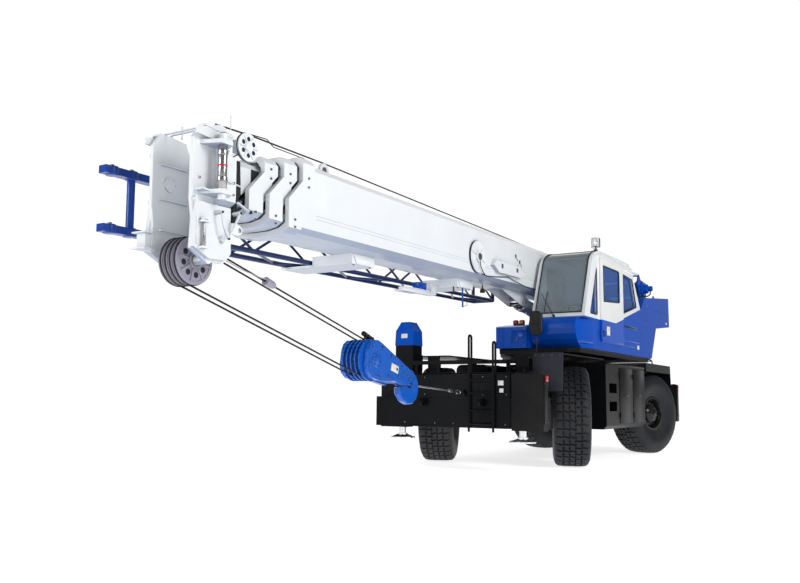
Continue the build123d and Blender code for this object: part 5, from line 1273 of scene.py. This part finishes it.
def second_paint_or_shade(material, masking, colour, second):
    """Mixes a second colour in where the mask of a node group lets it: a second paint on the jib, painted
    shade under the boom.
    """
    tree = material.node_tree
    mask = tree.nodes.new("ShaderNodeGroup")
    mask.node_tree = masking
    mix = tree.nodes.new("ShaderNodeMix")
    mix.data_type = "RGBA"
    mix.inputs["A"].default_value = (*colour, 1)
    mix.inputs["B"].default_value = (*second, 1)
    tree.links.new(mask.outputs["Mask"], mix.inputs["Factor"])
    tree.links.new(mix.outputs["Result"], wear_of(material).inputs["Colour"])


# The faces that look down get painted shade: a dull lilac grey in place of the white paint.
second_paint_or_shade(boom_white, underside_shade(), (0.80, 0.83, 0.86), (0.34, 0.39, 0.50))
dress(boom_white, "base_boom", "second_section", "third_section", "top_section", "boom_head", "boom_fittings")
# name of the outer section's body, its front end, half width, top and bottom of the tube in it, and
# the width of the wiper
for word, front, half, high, low_w, gap in (("boom", 10.10, 0.326, 0.5355, -0.1755, 0.085),
                                            ("second", 10.36, 0.277, 0.4835, -0.1235, 0.085),
                                            ("third", 10.62, 0.228, 0.4315, -0.0715, 0.110)):
    rubber_gap = Form()
    step_line = [(front, high - 0.07), (front, 0.170), (front + 0.230, -0.060),
                 (front + 0.230, low_w + 0.075)]
    outline = step_line + [(u + gap, w) for u, w in reversed(step_line)]
    rubber_gap.prism(outline, "y", half - 0.002, half + 0.010)
    rubber_gap.both_sides()
    rubber_gap.box(front, front + gap, -half + 0.055, half - 0.055, high - 0.002, high + 0.006)
    rubber_gap.box(front + 0.23, front + 0.23 + gap, -half * 0.36, half * 0.36, low_w - 0.008, low_w + 0.002)
    rubber_gap.piece("collar_wiper_" + word, word, "dark_plastic", [gasket], on_boom)
    collar = Form()
    for w in (0.40, 0.30, -0.10, -0.18):
        u = front - 0.10 if w > 0 else front + 0.13
        collar.bolts([(u, half + 0.0905, w)], (0, 1, 0), 0.014)
    collar.both_sides()
    for y in (-0.20, -0.07, 0.07, 0.20):
        collar.bolts([(front - 0.11, y, high + 0.0935)], (0, 0, 1), 0.013)
    for y in (-0.16, 0.16):
        collar.box(front - 0.16, front - 0.06, y - 0.05, y + 0.05, high + 0.092, high + 0.104, 1)
    collar.piece("collar_bolts_" + word, word, "boom_white", [bolt_zinc, boom_white], on_boom, bevel=0.001)
seams = Form()
for w in (0.02, -0.02):
    seams.tube([(0.4, 0.3755, w), (5.0, 0.3755, w), (9.8, 0.3755, w)], 0.0035, 8)
seams.both_sides()
seams.box(1.6, 5.3, 0.116, 0.130, -0.232, -0.226)
seams.piece("boom_seams", "boom", "boom_white", [boom_white], on_boom)


# Ropes over the boom: hoist rope from the drum, along the top of the boom and over its roller, in
# one length for each section, and the thin cable of the length sensor over its guide sheave.
rope_radius, wire_radius = 0.0095, 0.0055
lead = Form()
drum_end, boom_end = Vector((-5.25, 0.30, 3.684)), Vector((-4.02, 0.03, 3.895))
lead.tube([drum_end.lerp(boom_end, k / 24) for k in range(25)], rope_radius, 10)
hoist_lead = lead.piece("hoist_rope_lead", None, "bare_steel", [rope_steel])
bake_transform(hoist_lead)
over_boom = Form()
over_boom.tube([(-0.02, 0.03, 0.655), (4.7, 0.06, 0.721), (9.26, 0.09, 0.7830), (9.30, 0.09, 0.7845),
                (9.36, 0.09, 0.7845)], rope_radius, 10)
over_boom.piece("hoist_rope_boom", "boom", "bare_steel", [rope_black], on_boom)
for body, word, start, end in (("boom", "second", 9.36, 10.30), ("second", "third", 10.30, 10.60),
                               ("third", "top", 10.60, 11.12)):
    rope = Form()
    rope.tube([(start, 0.09, 0.7845), (end, 0.09, 0.7845 if end < 11 else 0.765)], rope_radius, 10)
    stretch = rope.piece("hoist_rope_" + word, None, "bare_steel", [rope_black], on_boom)
    inner, outer = on_boom @ Vector((start + 0.05, 0.09, 0.78)), on_boom @ Vector((end - 0.05, 0.09, 0.78))
    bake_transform(stretch)
for body, word, start, end in (("boom", "second", 9.99, 10.25), ("second", "third", 10.25, 10.51),
                               ("third", "top", 10.51, 10.70)):
    wire = Form()
    y, w = (0.41, 0.665) if word == "top" else (0.34, 0.640)
    wire.tube([(start, 0.34, 0.640), (end, y, w)], wire_radius, 8)
    stretch = wire.piece("sensor_cable_" + word, None, "dark_plastic", [hose_black], on_boom)
    inner, outer = on_boom @ Vector((start + 0.04, 0.34, 0.64)), on_boom @ Vector((end - 0.04, 0.34, 0.64))
    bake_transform(stretch)
sensor_cable = Form()
ring = [(11.0 + 0.148 * cos(t), 0.412, 0.5 + 0.148 * sin(t))
        for t in [radians(-40 + 13 * k) for k in range(11)]]
sensor_cable.tube([(11.19, 0.412, 0.36)] + ring + [(10.70, 0.41, 0.665)], wire_radius, 8)
sensor_cable.piece("sensor_cable", "top", "dark_plastic", [hose_black], on_boom)


# Boom fittings: cable reel with its winding cable, lidded tool box, roller in its fork and folded
# plates that hold the stowed jib. All painted white with zinc fixings.
reel_u, reel_w = 5.76, 0.10
fittings = Form()
fittings.lathe([(0.0, 0.0), (0.246, 0.0), (0.252, 0.008), (0.246, 0.014), (0.222, 0.010), (0.20, 0.004),
                (0.0, 0.004)], (reel_u, 0.405, reel_w), (0, 1, 0), 56)
for k in range(6):
    angle = pi / 3 * k + 0.3
    fittings.tube([(reel_u + 0.075 * cos(angle), 0.412, reel_w + 0.075 * sin(angle)),
                   (reel_u + 0.225 * cos(angle), 0.412, reel_w + 0.225 * sin(angle))], 0.008, 8)
fittings.lathe([(0.0, 0.0), (0.058, 0.0), (0.050, 0.016), (0.0, 0.020)], (reel_u, 0.435, reel_w), (0, 1, 0),
               28, 1)
fittings.tube([(5.76, 0.437, 0.04), (5.74, 0.440, -0.05), (5.66, 0.436, -0.12), (5.56, 0.42, -0.15)], 0.007,
              8, 2)
fittings.lathe([(0.250, 0.0), (0.256, 0.006), (0.256, 0.024), (0.250, 0.030)], (reel_u, 0.375, reel_w),
               (0, 1, 0), 56, 2, closed=True)
fittings.prism([(4.03, 0.052), (4.04, 0.068), (4.205, 0.139), (5.155, 0.139), (5.262, 0.046), (5.255, 0.030),
                (5.150, 0.124), (4.212, 0.124)], "y", 0.374, 0.446)
for u in (4.35, 4.95):
    fittings.box(u - 0.03, u + 0.03, 0.440, 0.447, 0.02, 0.09, 1)
for u in (4.30, 5.0):
    fittings.rod((u - 0.04, 0.43, 0.142), (u + 0.04, 0.43, 0.142), 0.007, 10, skin=1)
for y in (-0.055, 0.055):
    fittings.prism([(9.44, 0.588), (9.53, 0.588), (9.515, 0.72), (9.455, 0.72)], "y", y - 0.006, y + 0.006)
fittings.rod((9.485, -0.068, 0.6575), (9.485, 0.068, 0.6575), 0.012, 12, skin=1)
fittings.bolts([(9.45, y, 0.59) for y in (-0.04, 0.04)] + [(9.52, y, 0.59) for y in (-0.04, 0.04)], (0, 0, 1),
               0.008, 1)
# upright roller that carries the hoist rope
fittings.lathe([(0.0, -0.016), (0.092, -0.016), (0.085, -0.008), (0.085, 0.008), (0.092, 0.016),
                (0.0, 0.016)], (9.30, 0.09, 0.690), (0, 1, 0), 32)
fittings.lathe([(0.0, 0.016), (0.045, 0.018), (0.0, 0.026)], (9.30, 0.09, 0.690), (0, 1, 0), 24, 1)
for y in (0.070, 0.110):
    fittings.prism([(9.26, 0.588), (9.34, 0.588), (9.315, 0.705), (9.285, 0.705)], "y", y - 0.003, y + 0.003)
fittings.box(5.42, 5.84, 0.11, 0.116, -0.350, -0.23)
for u in (8.28, 8.64, 5.44, 5.82):
    fittings.bolts([(u, 0.08, -0.3575)], (0, 0, -1), 0.014, 1)
for u0, u1 in ((8.21, 8.72), (5.37, 5.90)):
    fittings.prism([(u0 + 0.02, -0.228), (u1 - 0.02, -0.228), (u1 - 0.09, -0.355), (u0 + 0.09, -0.355)], "y",
                   0.112, 0.124)
for u, w in ((4.26, 0.345), (4.10, 0.262)):
    fittings.prism([(u, w), (u + 0.03, w - 0.01), (u + 0.02, w - 0.06), (u - 0.01, w - 0.05)], "y", 0.374,
                   0.392, 1)
    fittings.tube([(u, 0.385, w - 0.05), (u - 0.02, 0.40, w - 0.09), (u - 0.06, 0.385, w - 0.11)], 0.005, 8,
                  2)
fittings.piece("boom_fitting_details", "boom", "boom_white", [boom_white, bolt_zinc, hose_black], on_boom,
               bevel=0.0015)
cable = Form()
points = []
for k in range(15):
    t = k / 14
    points.append((4.62 - 1.75 * t, 0.395 + 0.02 * sin(pi * t), -0.085 - 0.075 * sin(pi * t) - 0.05 * t))
cable.tube(points, 0.008, 8)
cable.tube([(5.60, 0.385, -0.14), (5.40, 0.382, -0.155), (5.10, 0.380, -0.135), (4.62, 0.395, -0.085)], 0.008,
           8)
cable.piece("boom_loose_cable", "boom", "dark_plastic", [hose_black], on_boom)
hanger = Form()
hanger.box(6.05, 6.95, -0.30, -0.22, -0.50, -0.44)
hanger.box(6.10, 6.90, -0.31, -0.21, -0.445, -0.430)
hanger.box(6.30, 6.52, -0.32, -0.20, -0.430, -0.330, 1)
hanger.box(5.95, 6.10, -0.29, -0.23, -0.48, -0.32)
hanger.rod((5.70, 0.10, -0.355), (5.70, 0.10, -0.66), 0.014, 14, skin=1)
hanger.tube([(5.66, 0.10, -0.64), (5.55, 0.10, -0.62), (5.55, 0.10, -0.42), (5.60, 0.10, -0.355)], 0.005, 8,
            2)
hanger.rod((5.92, 0.06, -0.355), (5.92, 0.06, -0.44), 0.012, 12, skin=2)
hanger.rod((4.95, 0.08, -0.22), (4.95, 0.08, -0.30), 0.010, 12, skin=2)
hanger.lathe([(0.0, 0.0), (0.03, 0.0), (0.045, 0.04), (0.04, 0.07), (0.0, 0.07)], (4.95, 0.08, -0.29),
             (0, 0, -1), 20, 2)
hanger.piece("boom_underside_fittings", "boom", "boom_white", [boom_white, body_blue, lamp_plastic], on_boom,
             bevel=0.002)


# Boom head: welded cheeks and lugs, with bright pins for the jib, a small linkage on the left
# cheek, a spoked guide sheave and a pinned strut. Painted white, with bare pins.
pin_steel = finish("pin_steel", (0.42, 0.42, 0.43), 0.25, dusty=0.1, metal=0.95, grain=200.0, bump=0.1)
jib_pin_u = 11.365
head = Form()
for y in (-0.44, 0.44):
    head.lathe([(0.0425, 0.0), (0.0455, 0.004), (0.0455, 0.425), (0.0425, 0.429)], (jib_pin_u, y, 0.0005),
               (0, 0, 1), 32, 1, closed=True)
    head.lathe([(0.046, 0.0), (0.049, 0.003), (0.049, 0.017), (0.046, 0.020)], (jib_pin_u, y, 0.215),
               (0, 0, 1), 32, 2, closed=True)
    for w in (0.325, 0.065):
        head.lathe([(0.046, 0.0), (0.052, 0.005), (0.052, 0.045), (0.046, 0.05)], (jib_pin_u, y, w),
                   (0, 0, 1), 32, 1, closed=True)
    head.lathe([(0.0, 0.0), (0.040, 0.0), (0.034, 0.012), (0.0, 0.014)], (jib_pin_u, y, 0.540), (0, 0, 1), 24,
               1)
    head.tube([(jib_pin_u + 0.055, y, 0.505), (jib_pin_u + 0.075, y, 0.515), (jib_pin_u + 0.075, y, 0.545)],
              0.006, 8, 1)
# dark disc in a white ring: painted shade in a bore
head.lathe([(0.0, 0.0), (0.030, 0.0), (0.030, 0.030), (0.0, 0.030)], (11.27, 0.372, 0.45), (0, 1, 0), 24, 3)
head.lathe([(0.030, 0.0), (0.044, 0.004), (0.044, 0.034), (0.030, 0.036)], (11.27, 0.370, 0.45), (0, 1, 0),
           28, 0, closed=True)
head.tube([(11.25, 0.420, -0.47), (11.20, 0.425, -0.40), (11.09, 0.425, -0.19)], 0.012, 12)
head.tube([(11.25, 0.428, -0.47), (11.31, 0.425, -0.36), (11.34, 0.420, -0.22)], 0.011, 12)
head.lathe([(0.0, 0.0), (0.038, 0.0), (0.032, 0.030), (0.0, 0.034)], (11.25, 0.338, -0.47), (0, 1, 0), 24)
head.bolts([(11.25, 0.436, -0.47), (11.09, 0.432, -0.19), (11.34, 0.430, -0.22)], (0, 1, 0), 0.012, 3)
head.lathe([(0.0, 0.0), (0.024, 0.0), (0.018, 0.09), (0.0, 0.10)], (11.09, 0.338, -0.19), (0, 1, 0), 18)
head.lathe([(0.0, 0.0), (0.024, 0.0), (0.018, 0.09), (0.0, 0.10)], (11.34, 0.334, -0.22), (0, 1, 0), 18)
for w in (-0.335, -0.585):
    head.box(11.47, 11.56, 0.335, 0.405, w - 0.010, w + 0.010)
head.rod((11.515, 0.37, -0.600), (11.515, 0.37, -0.320), 0.017, 18, skin=1)
head.lathe([(0.0, 0.0), (0.034, 0.0), (0.034, 0.02), (0.0, 0.024)], (11.515, 0.37, -0.318), (0, 0, 1), 20, 0)
head.tube([(11.60, 0.30, -0.10), (11.60, 0.345, -0.10), (11.58, 0.345, -0.30), (11.58, 0.345, -0.56)], 0.008,
          10)
for u, w in ((11.17, 0.10), (11.17, -0.02), (11.52, 0.10)):
    head.bolts([(u, 0.402 if u < 11.3 else 0.292, w)], (0, 1, 0), 0.013, 1)
head.prism([(11.14, -0.05), (11.58, -0.02), (11.58, -0.035), (11.14, -0.065)], "y", 0.29, 0.405)
head.rod((11.02, 0.36, 0.10), (11.30, 0.44, 0.09), 0.010, 10)
head.rod((10.86, 0.34, -0.13), (11.12, 0.42, -0.09), 0.013, 12)
head.bolts([(10.86, 0.345, -0.13)], (0, 1, 0), 0.020, 3)
for y in (-0.34, 0.34):
    head.rod((11.16, y, 0.66), (11.16, y, 0.80), 0.010, 12)
head.rod((11.30, -0.34, 0.665), (11.30, 0.34, 0.665), 0.010, 12)
head.rod((11.45, -0.34, 0.625), (11.45, 0.34, 0.625), 0.010, 12)
for y in (-0.262, 0.262):
    inward = 0.012 if y < 0 else -0.012
    for w in (0.30, -0.05, -0.36):
        head.box(11.16, 11.52, min(y, y + inward * 4), max(y, y + inward * 4), w - 0.007, w + 0.007)
    head.lathe([(0.0, 0.0), (0.085, 0.0), (0.078, inward * 2), (0.0, inward * 2)], (11.38, y, 0.12),
               (0, 1, 0), 32)
    head.bolts([(11.38 + 0.060 * cos(pi / 3 * k), y + inward * 2, 0.12 + 0.060 * sin(pi / 3 * k))
                for k in range(6)], (0, 1 if inward > 0 else -1, 0), 0.009)
head.piece("head_details", "top", "boom_white", [boom_white, pin_steel, marker_red, near_black_and_painted_shade], on_boom,
           bevel=0.0015)
guide_u, guide_w = 11.0, 0.5
guide_wheel = Form()
guide_wheel.lathe([(0.118, 0.036), (0.146, 0.036), (0.146, 0.042), (0.118, 0.042)], (guide_u, 0.390, guide_w),
                  (0, 1, 0), 48, closed=True)
guide_wheel.lathe([(0.0, 0.040), (0.050, 0.040), (0.044, 0.058), (0.0, 0.060)], (guide_u, 0.390, guide_w),
                  (0, 1, 0), 28)
for k in range(6):
    angle = pi / 3 * k
    guide_wheel.tube([(guide_u + 0.045 * cos(angle), 0.434, guide_w + 0.045 * sin(angle)),
                      (guide_u + 0.128 * cos(angle), 0.434, guide_w + 0.128 * sin(angle))], 0.009, 8)
    # dark discs between the spokes: painted shade for the holes of the sheave
    angle += pi / 6
    guide_wheel.lathe([(0.0, 0.0), (0.024, 0.0), (0.024, 0.001), (0.0, 0.001)],
                      (guide_u + 0.085 * cos(angle), 0.4342, guide_w + 0.085 * sin(angle)), (0, 1, 0), 20, 1)
guide_wheel.lathe([(0.146, 0.012), (0.151, 0.020), (0.146, 0.028)], (guide_u, 0.390, guide_w), (0, 1, 0), 48,
                  2, closed=True)
guide_wheel.piece("guide_sheave_face", "top", "boom_white", [boom_white, near_black_and_painted_shade, hose_black], on_boom,
                  bevel=0.001)
head_gap = Form()
head_gap.box(11.00, 11.108, 0.226, 0.300, -0.07, 0.36)
head_gap.prism([(11.02, 0.36), (11.09, 0.36), (11.112, 0.02), (11.112, -0.36), (11.05, -0.36), (11.05, -0.05),
                (11.00, 0.02)], "y", 0.235, 0.345)
head_gap.both_sides()
head_gap.piece("head_rubber", "top", "dark_plastic", [gasket], on_boom)


# Head sheaves and falls: grey cast sheaves below the head, and four falls of black wire rope to the
# hook block. A grey cone trips the hoist limit.
on_head_axis = on_boom @ Matrix.Translation((11.38, 0, -0.673))
on_falls = on_head_axis @ Matrix.Rotation(radians(164.4), 4, "Y")
sheave_grey = finish("sheave_grey", (0.30, 0.29, 0.36), 0.42, dusty=0.2, grain=90.0)
dress(sheave_grey, "head_sheaves")
nest = Form()
for side_sign in (-1, 1):
    y = side_sign * 0.1165
    nest.lathe([(0.205, 0.0), (0.236, 0.0), (0.236, 0.007 * side_sign), (0.205, 0.007 * side_sign)],
               (0, y, 0), (0, 1, 0), 48, closed=True)
    nest.lathe([(0.0, 0.0), (0.070, 0.0), (0.070, 0.020 * side_sign), (0.060, 0.026 * side_sign),
                (0.0, 0.026 * side_sign)], (0, y, 0), (0, 1, 0), 36, 1)
    for k in range(8):
        angle = pi / 4 * k + 0.2
        nest.tube([(0.072 * cos(angle), y + 0.004 * side_sign, 0.072 * sin(angle)),
                   (0.207 * cos(angle), y + 0.004 * side_sign, 0.207 * sin(angle))], 0.011, 8)
        # dark discs between the spokes: painted shade for the holes of the sheave
        angle += pi / 8
        nest.lathe([(0.0, 0.0), (0.030, 0.0), (0.030, 0.0015 * side_sign), (0.0, 0.0015 * side_sign)],
                   (0.140 * cos(angle), y, 0.140 * sin(angle)), (0, 1, 0), 20, 2)
for y in (-0.093, -0.031, 0.031, 0.093):
    nest.lathe([(0.236, -0.012), (0.2435, -0.008), (0.2435, 0.008), (0.236, 0.012)], (0, y, 0), (0, 1, 0), 48,
               2, closed=True)
nest.piece("head_sheave_faces", "top", "cast_parts", [sheave_grey, bolt_zinc, near_black_and_painted_shade], on_head_axis,
           bevel=0.001)
ropes = Form()
for w0, w1, y0, y1 in ((0.238, 0.257, 0.093, 0.093), (0.238, 0.257, -0.031, -0.031),
                       (-0.238, -0.217, 0.031, 0.062), (-0.238, -0.217, -0.093, -0.062)):
    ropes.tube([(0.0, y0, w0), (1.06, y0 + (y1 - y0) / 3, w0 + (w1 - w0) / 3),
                (2.1, y0 + (y1 - y0) * 2 / 3, w0 + (w1 - w0) * 2 / 3), (3.19, y1, w1)], 0.0105, 12)
falls_ropes = ropes.piece("falls_ropes", "falls", "bare_steel", [rope_black], on_falls)
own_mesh(falls_ropes)
trip = Form()
trip.lathe([(0.012, 0.0), (0.048, 0.0), (0.044, 0.12), (0.028, 0.16), (0.012, 0.16)], (1.10, 0.042, -0.2360),
           (1, 0, 0), 24, closed=True)
trip.tube([(0.02, 0.20, -0.16), (0.25, 0.19, -0.135), (0.60, 0.165, -0.150), (0.92, 0.145, -0.190),
           (1.04, 0.13, -0.222), (1.11, 0.050, -0.240)], 0.0055, 8)
trip_weight = trip.piece("hoist_trip_weight", "falls", "cast_parts", [sheave_grey], on_falls)
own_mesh(trip_weight)


# Hook block: teardrop cheeks flame-cut from plate and painted a bright blue, ribbed guards between
# the sheaves, a swivelling hook painted with them, a latch and a clip for the rope's end.
block_blue = finish("block_blue", (0.004, 0.10, 0.50), 0.28, coat=0.25, dusty=0.02)
dress(block_blue, "hook_block", "hook")
cheeks = Form()
mid = 3.19
rib = [(mid - 0.160, -0.060), (mid - 0.146, -0.135), (mid - 0.095, -0.190), (mid - 0.02, -0.210),
       (mid + 0.08, -0.200), (mid + 0.845, -0.075), (mid + 0.88, -0.02), (mid + 0.865, 0.045),
       (mid + 0.80, 0.092), (mid + 0.49, 0.120), (mid + 0.13, 0.213), (mid - 0.02, 0.224),
       (mid - 0.105, 0.188), (mid - 0.147, 0.115)]
for k in range(len(rib)):
    start, end = rib[k], rib[(k + 1) % len(rib)]
    cheeks.tube([(start[0], 0.217, start[1]), (end[0], 0.217, end[1])], 0.006, 8)
cheeks.lathe([(0.0, 0.0), (0.105, 0.0), (0.098, 0.012), (0.060, 0.014), (0.060, 0.022), (0.0, 0.022)],
             (mid, 0.215, 0.02), (0, 1, 0), 36)
cheeks.bolts([(mid + 0.082 * cos(pi / 3 * k), 0.228, 0.02 + 0.082 * sin(pi / 3 * k)) for k in range(6)],
             (0, 1, 0), 0.010, 1)
cheeks.bolts([(mid + u, 0.215, w) for u, w in ((-0.13, 0.10), (-0.12, -0.12), (0.10, 0.205), (0.10, -0.175),
                                               (0.33, 0.125), (0.33, -0.135), (0.55, 0.075), (0.62, -0.075),
                                               (0.84, 0.02))], (0, 1, 0), 0.016, 1)
cheeks.both_sides()
cheeks.prism([(mid + 0.36, 0.045), (mid + 0.36, -0.055), (mid + 0.54, -0.055), (mid + 0.54, 0.045)], "y",
             0.2155, 0.2185, 2)
for k in range(5):
    y = (k - 2) * 0.062
    for turn_by in range(-5, 6):
        angle = pi + turn_by * 0.22
        cheeks.rod((mid + 0.262 * cos(angle), y - 0.010, 0.02 + 0.262 * sin(angle)),
                   (mid + 0.262 * cos(angle), y + 0.010, 0.02 + 0.262 * sin(angle)), 0.009, 8)
for y in (-0.093, -0.031, 0.031, 0.093):
    cheeks.lathe([(0.236, -0.012), (0.243, -0.008), (0.243, 0.008), (0.236, 0.012)], (mid, y, 0.02),
                 (0, 1, 0), 48, 3, closed=True)
for u in (0.50, 0.68, 0.80):
    cheeks.rod((mid + u, -0.225, -0.01), (mid + u, 0.225, -0.01), 0.020, 14, skin=1)
cheeks.piece("block_cheek_trim", "block", "body_blue", [block_blue, bolt_zinc, plate_white, rope_black],
             on_falls, bevel=0.0015)
clip = Form()
clip.rod((mid - 0.10, 0.06, -0.235), (mid - 0.10, 0.06, -0.30), 0.020, 12)
clip.rod((mid - 0.16, 0.06, -0.29), (mid + 0.06, 0.06, -0.275), 0.032, 14)
for u in (-0.13, -0.05, 0.03):
    clip.rod((mid + u, 0.02, -0.285), (mid + u, 0.10, -0.285), 0.012, 10, skin=1)
clip.box(mid - 0.04, mid + 0.06, 0.03, 0.09, -0.275, -0.225)
clip.piece("rope_clip", "block", "bare_steel", [rope_black, bolt_zinc], on_falls, bevel=0.001)
tackle = Form()
eye = mid + 1.13
collar_ring = [(0.062, 0.0), (0.092, 0.0), (0.098, 0.012), (0.098, 0.038), (0.092, 0.05), (0.062, 0.05)]
tackle.lathe(collar_ring, (mid + 0.90, 0, 0), (1, 0, 0), 32, closed=True)
latch = [(mid + 1.00, 0.145), (mid + 1.02, 0.160), (mid + 1.20, 0.225), (mid + 1.215, 0.205),
         (mid + 1.06, 0.118)]
tackle.prism(latch, "y", -0.030, 0.030, 1)
tackle.rod((mid + 1.02, -0.060, 0.140), (mid + 1.02, 0.060, 0.140), 0.014, 12, skin=1)
for angle in (0.6, 1.7, 2.8, 3.9, 5.0, 6.0):
    tackle.rod((eye + 0.200 * cos(angle), -0.051, 0.02 + 0.200 * sin(angle)),
               (eye + 0.200 * cos(angle), 0.051, 0.02 + 0.200 * sin(angle)), 0.010, 10, skin=1)
tackle.piece("hook_latch", "block", "body_blue", [block_blue, bolt_zinc], on_falls, bevel=0.0015)


# Lashing: a bright wire strop from the hook towards the front of the carrier, which keeps the block
# from swinging on the road. It ends in a loop with a pressed ferrule and stays with the hook.
sling_bright = finish("sling_bright", (0.50, 0.50, 0.52), 0.28, dusty=0.1, metal=0.95, grain=260.0, bump=0.25)
lashing = Form()
hole = on_carrier.inverted() @ (on_falls @ Vector((eye, 0.0, 0.02)))
loose_end = Vector((1.81, 0.20, 1.16))
mid_way = hole.lerp(loose_end, 0.55)
lashing.tube([hole + Vector((-0.02, -0.035, 0.02)), hole + Vector((0.01, 0.02, 0.0)),
              hole.lerp(loose_end, 0.2), mid_way, hole.lerp(loose_end, 0.8)], 0.0125, 12)
start, end = hole.lerp(loose_end, 0.70), hole.lerp(loose_end, 0.84)
lashing.lathe([(0.0, 0.0), (0.020, 0.0), (0.026, 0.02), (0.026, (end - start).length - 0.02),
               (0.018, (end - start).length), (0.0, (end - start).length)], start, end - start, 20, 1)
along = (loose_end - hole).normalized()
across = along.cross(Vector((0, 1, 0))).normalized()
loop_start = hole.lerp(loose_end, 0.84)
loop = [loop_start + along * (0.055 - 0.055 * cos(2 * pi * k / 20)) + across * (0.030 * sin(2 * pi * k / 20))
        for k in range(20)]
lashing.tube(loop, 0.011, 10, 1, closed=True)
lashing.piece("lashing_sling", "block", "bare_steel", [sling_bright, pin_steel], bevel=0.0)


# Jib: a lattice of round tube with flame-cut forks, stowed beside the boom on its brackets. Navy
# paint, with the foot that pins to the boom head in the lighter blue of the body.
jib_navy = finish("jib_navy", (0.006, 0.040, 0.24), 0.28, coat=0.15, dusty=0.01)


def ahead_of(line):
    """Mask of what lies ahead of a line across the crane, in metres, at rest."""
    group = bpy.data.node_groups.new("ahead_of_line", "ShaderNodeTree")
    group.interface.new_socket("Mask", in_out="OUTPUT", socket_type="NodeSocketFloat")
    node, link = group.nodes.new, group.links.new
    result = node("NodeGroupOutput")
    step = node("ShaderNodeMath")
    step.operation = "GREATER_THAN"
    step.inputs[1].default_value = line
    link(split_of(group)["X"], step.inputs[0])
    link(step.outputs["Value"], result.inputs["Mask"])
    return group


second_paint_or_shade(jib_navy, ahead_of(-4.0 + 10.64 + front_axle), (0.004, 0.020, 0.11), (0.010, 0.050, 0.30))
dress(jib_navy, "jib")
gussets = Form()
for y in (-0.56, -0.96):
    for w, lean in ((-0.30, 1), (0.18, -1)):
        gussets.prism([(10.60, w), (10.48, w), (10.60, w + 0.12 * lean)], "y", y - 0.006, y + 0.006)
        gussets.prism([(3.20, w), (3.32, w), (3.20, w + 0.12 * lean)], "y", y - 0.006, y + 0.006)
for w in (-0.30, 0.30):
    for u in (11.01, 11.35, 11.60):
        gussets.lathe([(0.0, -0.048), (0.062, -0.048), (0.070, -0.040), (0.070, 0.040), (0.062, 0.048),
                       (0.0, 0.048)], (u, -0.865, w), (0, 0, 1), 28)
        gussets.bolts([(u, -0.865, w + 0.048)], (0, 0, 1), 0.024, 1)
gussets.piece("jib_gussets", "boom", "jib_navy", [jib_navy, bolt_zinc], on_boom, bevel=0.002)


# Lift cylinder: a honed steel barrel painted white with the boom, welded ports and hoses, and a
# hard chromed rod with a wiper seal. Both ends pin into cheeks with plain bushes.
dress(boom_white, "lift_barrel")
dress(chromed, "lift_rod")
foot, far = Vector((-2.85, 0, 2.56)), (on_carrier.inverted() @ on_boom @ Vector((3.4, 0, -0.36)))
lift_run = far - foot
on_lift = on_carrier @ Matrix.Translation(foot) @ lift_run.to_track_quat("X", "Z").to_matrix().to_4x4()
barrel = Form()
barrel.lathe([(0.086, 0.0), (0.110, 0.002), (0.104, 0.022), (0.086, 0.026)], (2.108, 0, 0), (1, 0, 0), 40, 1,
             closed=True)
for u in (0.24, 2.00):
    barrel.lathe([(0.129, 0.0), (0.136, 0.006), (0.136, 0.030), (0.129, 0.036)], (u, 0, 0), (1, 0, 0), 40, 0,
                 closed=True)
barrel.tube([(0.30, 0.05, -0.128), (0.30, 0.06, -0.165), (0.42, 0.065, -0.170), (1.80, 0.065, -0.170),
             (1.92, 0.06, -0.165), (1.92, 0.05, -0.128)], 0.014, 12)
for u in (0.7, 1.2, 1.6):
    barrel.box(u - 0.02, u + 0.02, 0.030, 0.100, -0.176, -0.124, 2)
barrel.bolts([(2.1095, 0.122 * cos(pi / 5 * k), 0.122 * sin(pi / 5 * k)) for k in range(10)], (1, 0, 0),
             0.012, 2)
barrel.tube([(0.30, -0.06, -0.128), (0.20, -0.09, -0.20), (0.02, -0.09, -0.19), (-0.06, -0.08, -0.11)], 0.016,
            12, 3)
barrel.piece("lift_barrel_fittings", "lift_cylinder", "boom_white",
             [boom_white, lamp_plastic, bolt_zinc, hose_black], on_lift, bevel=0.001)
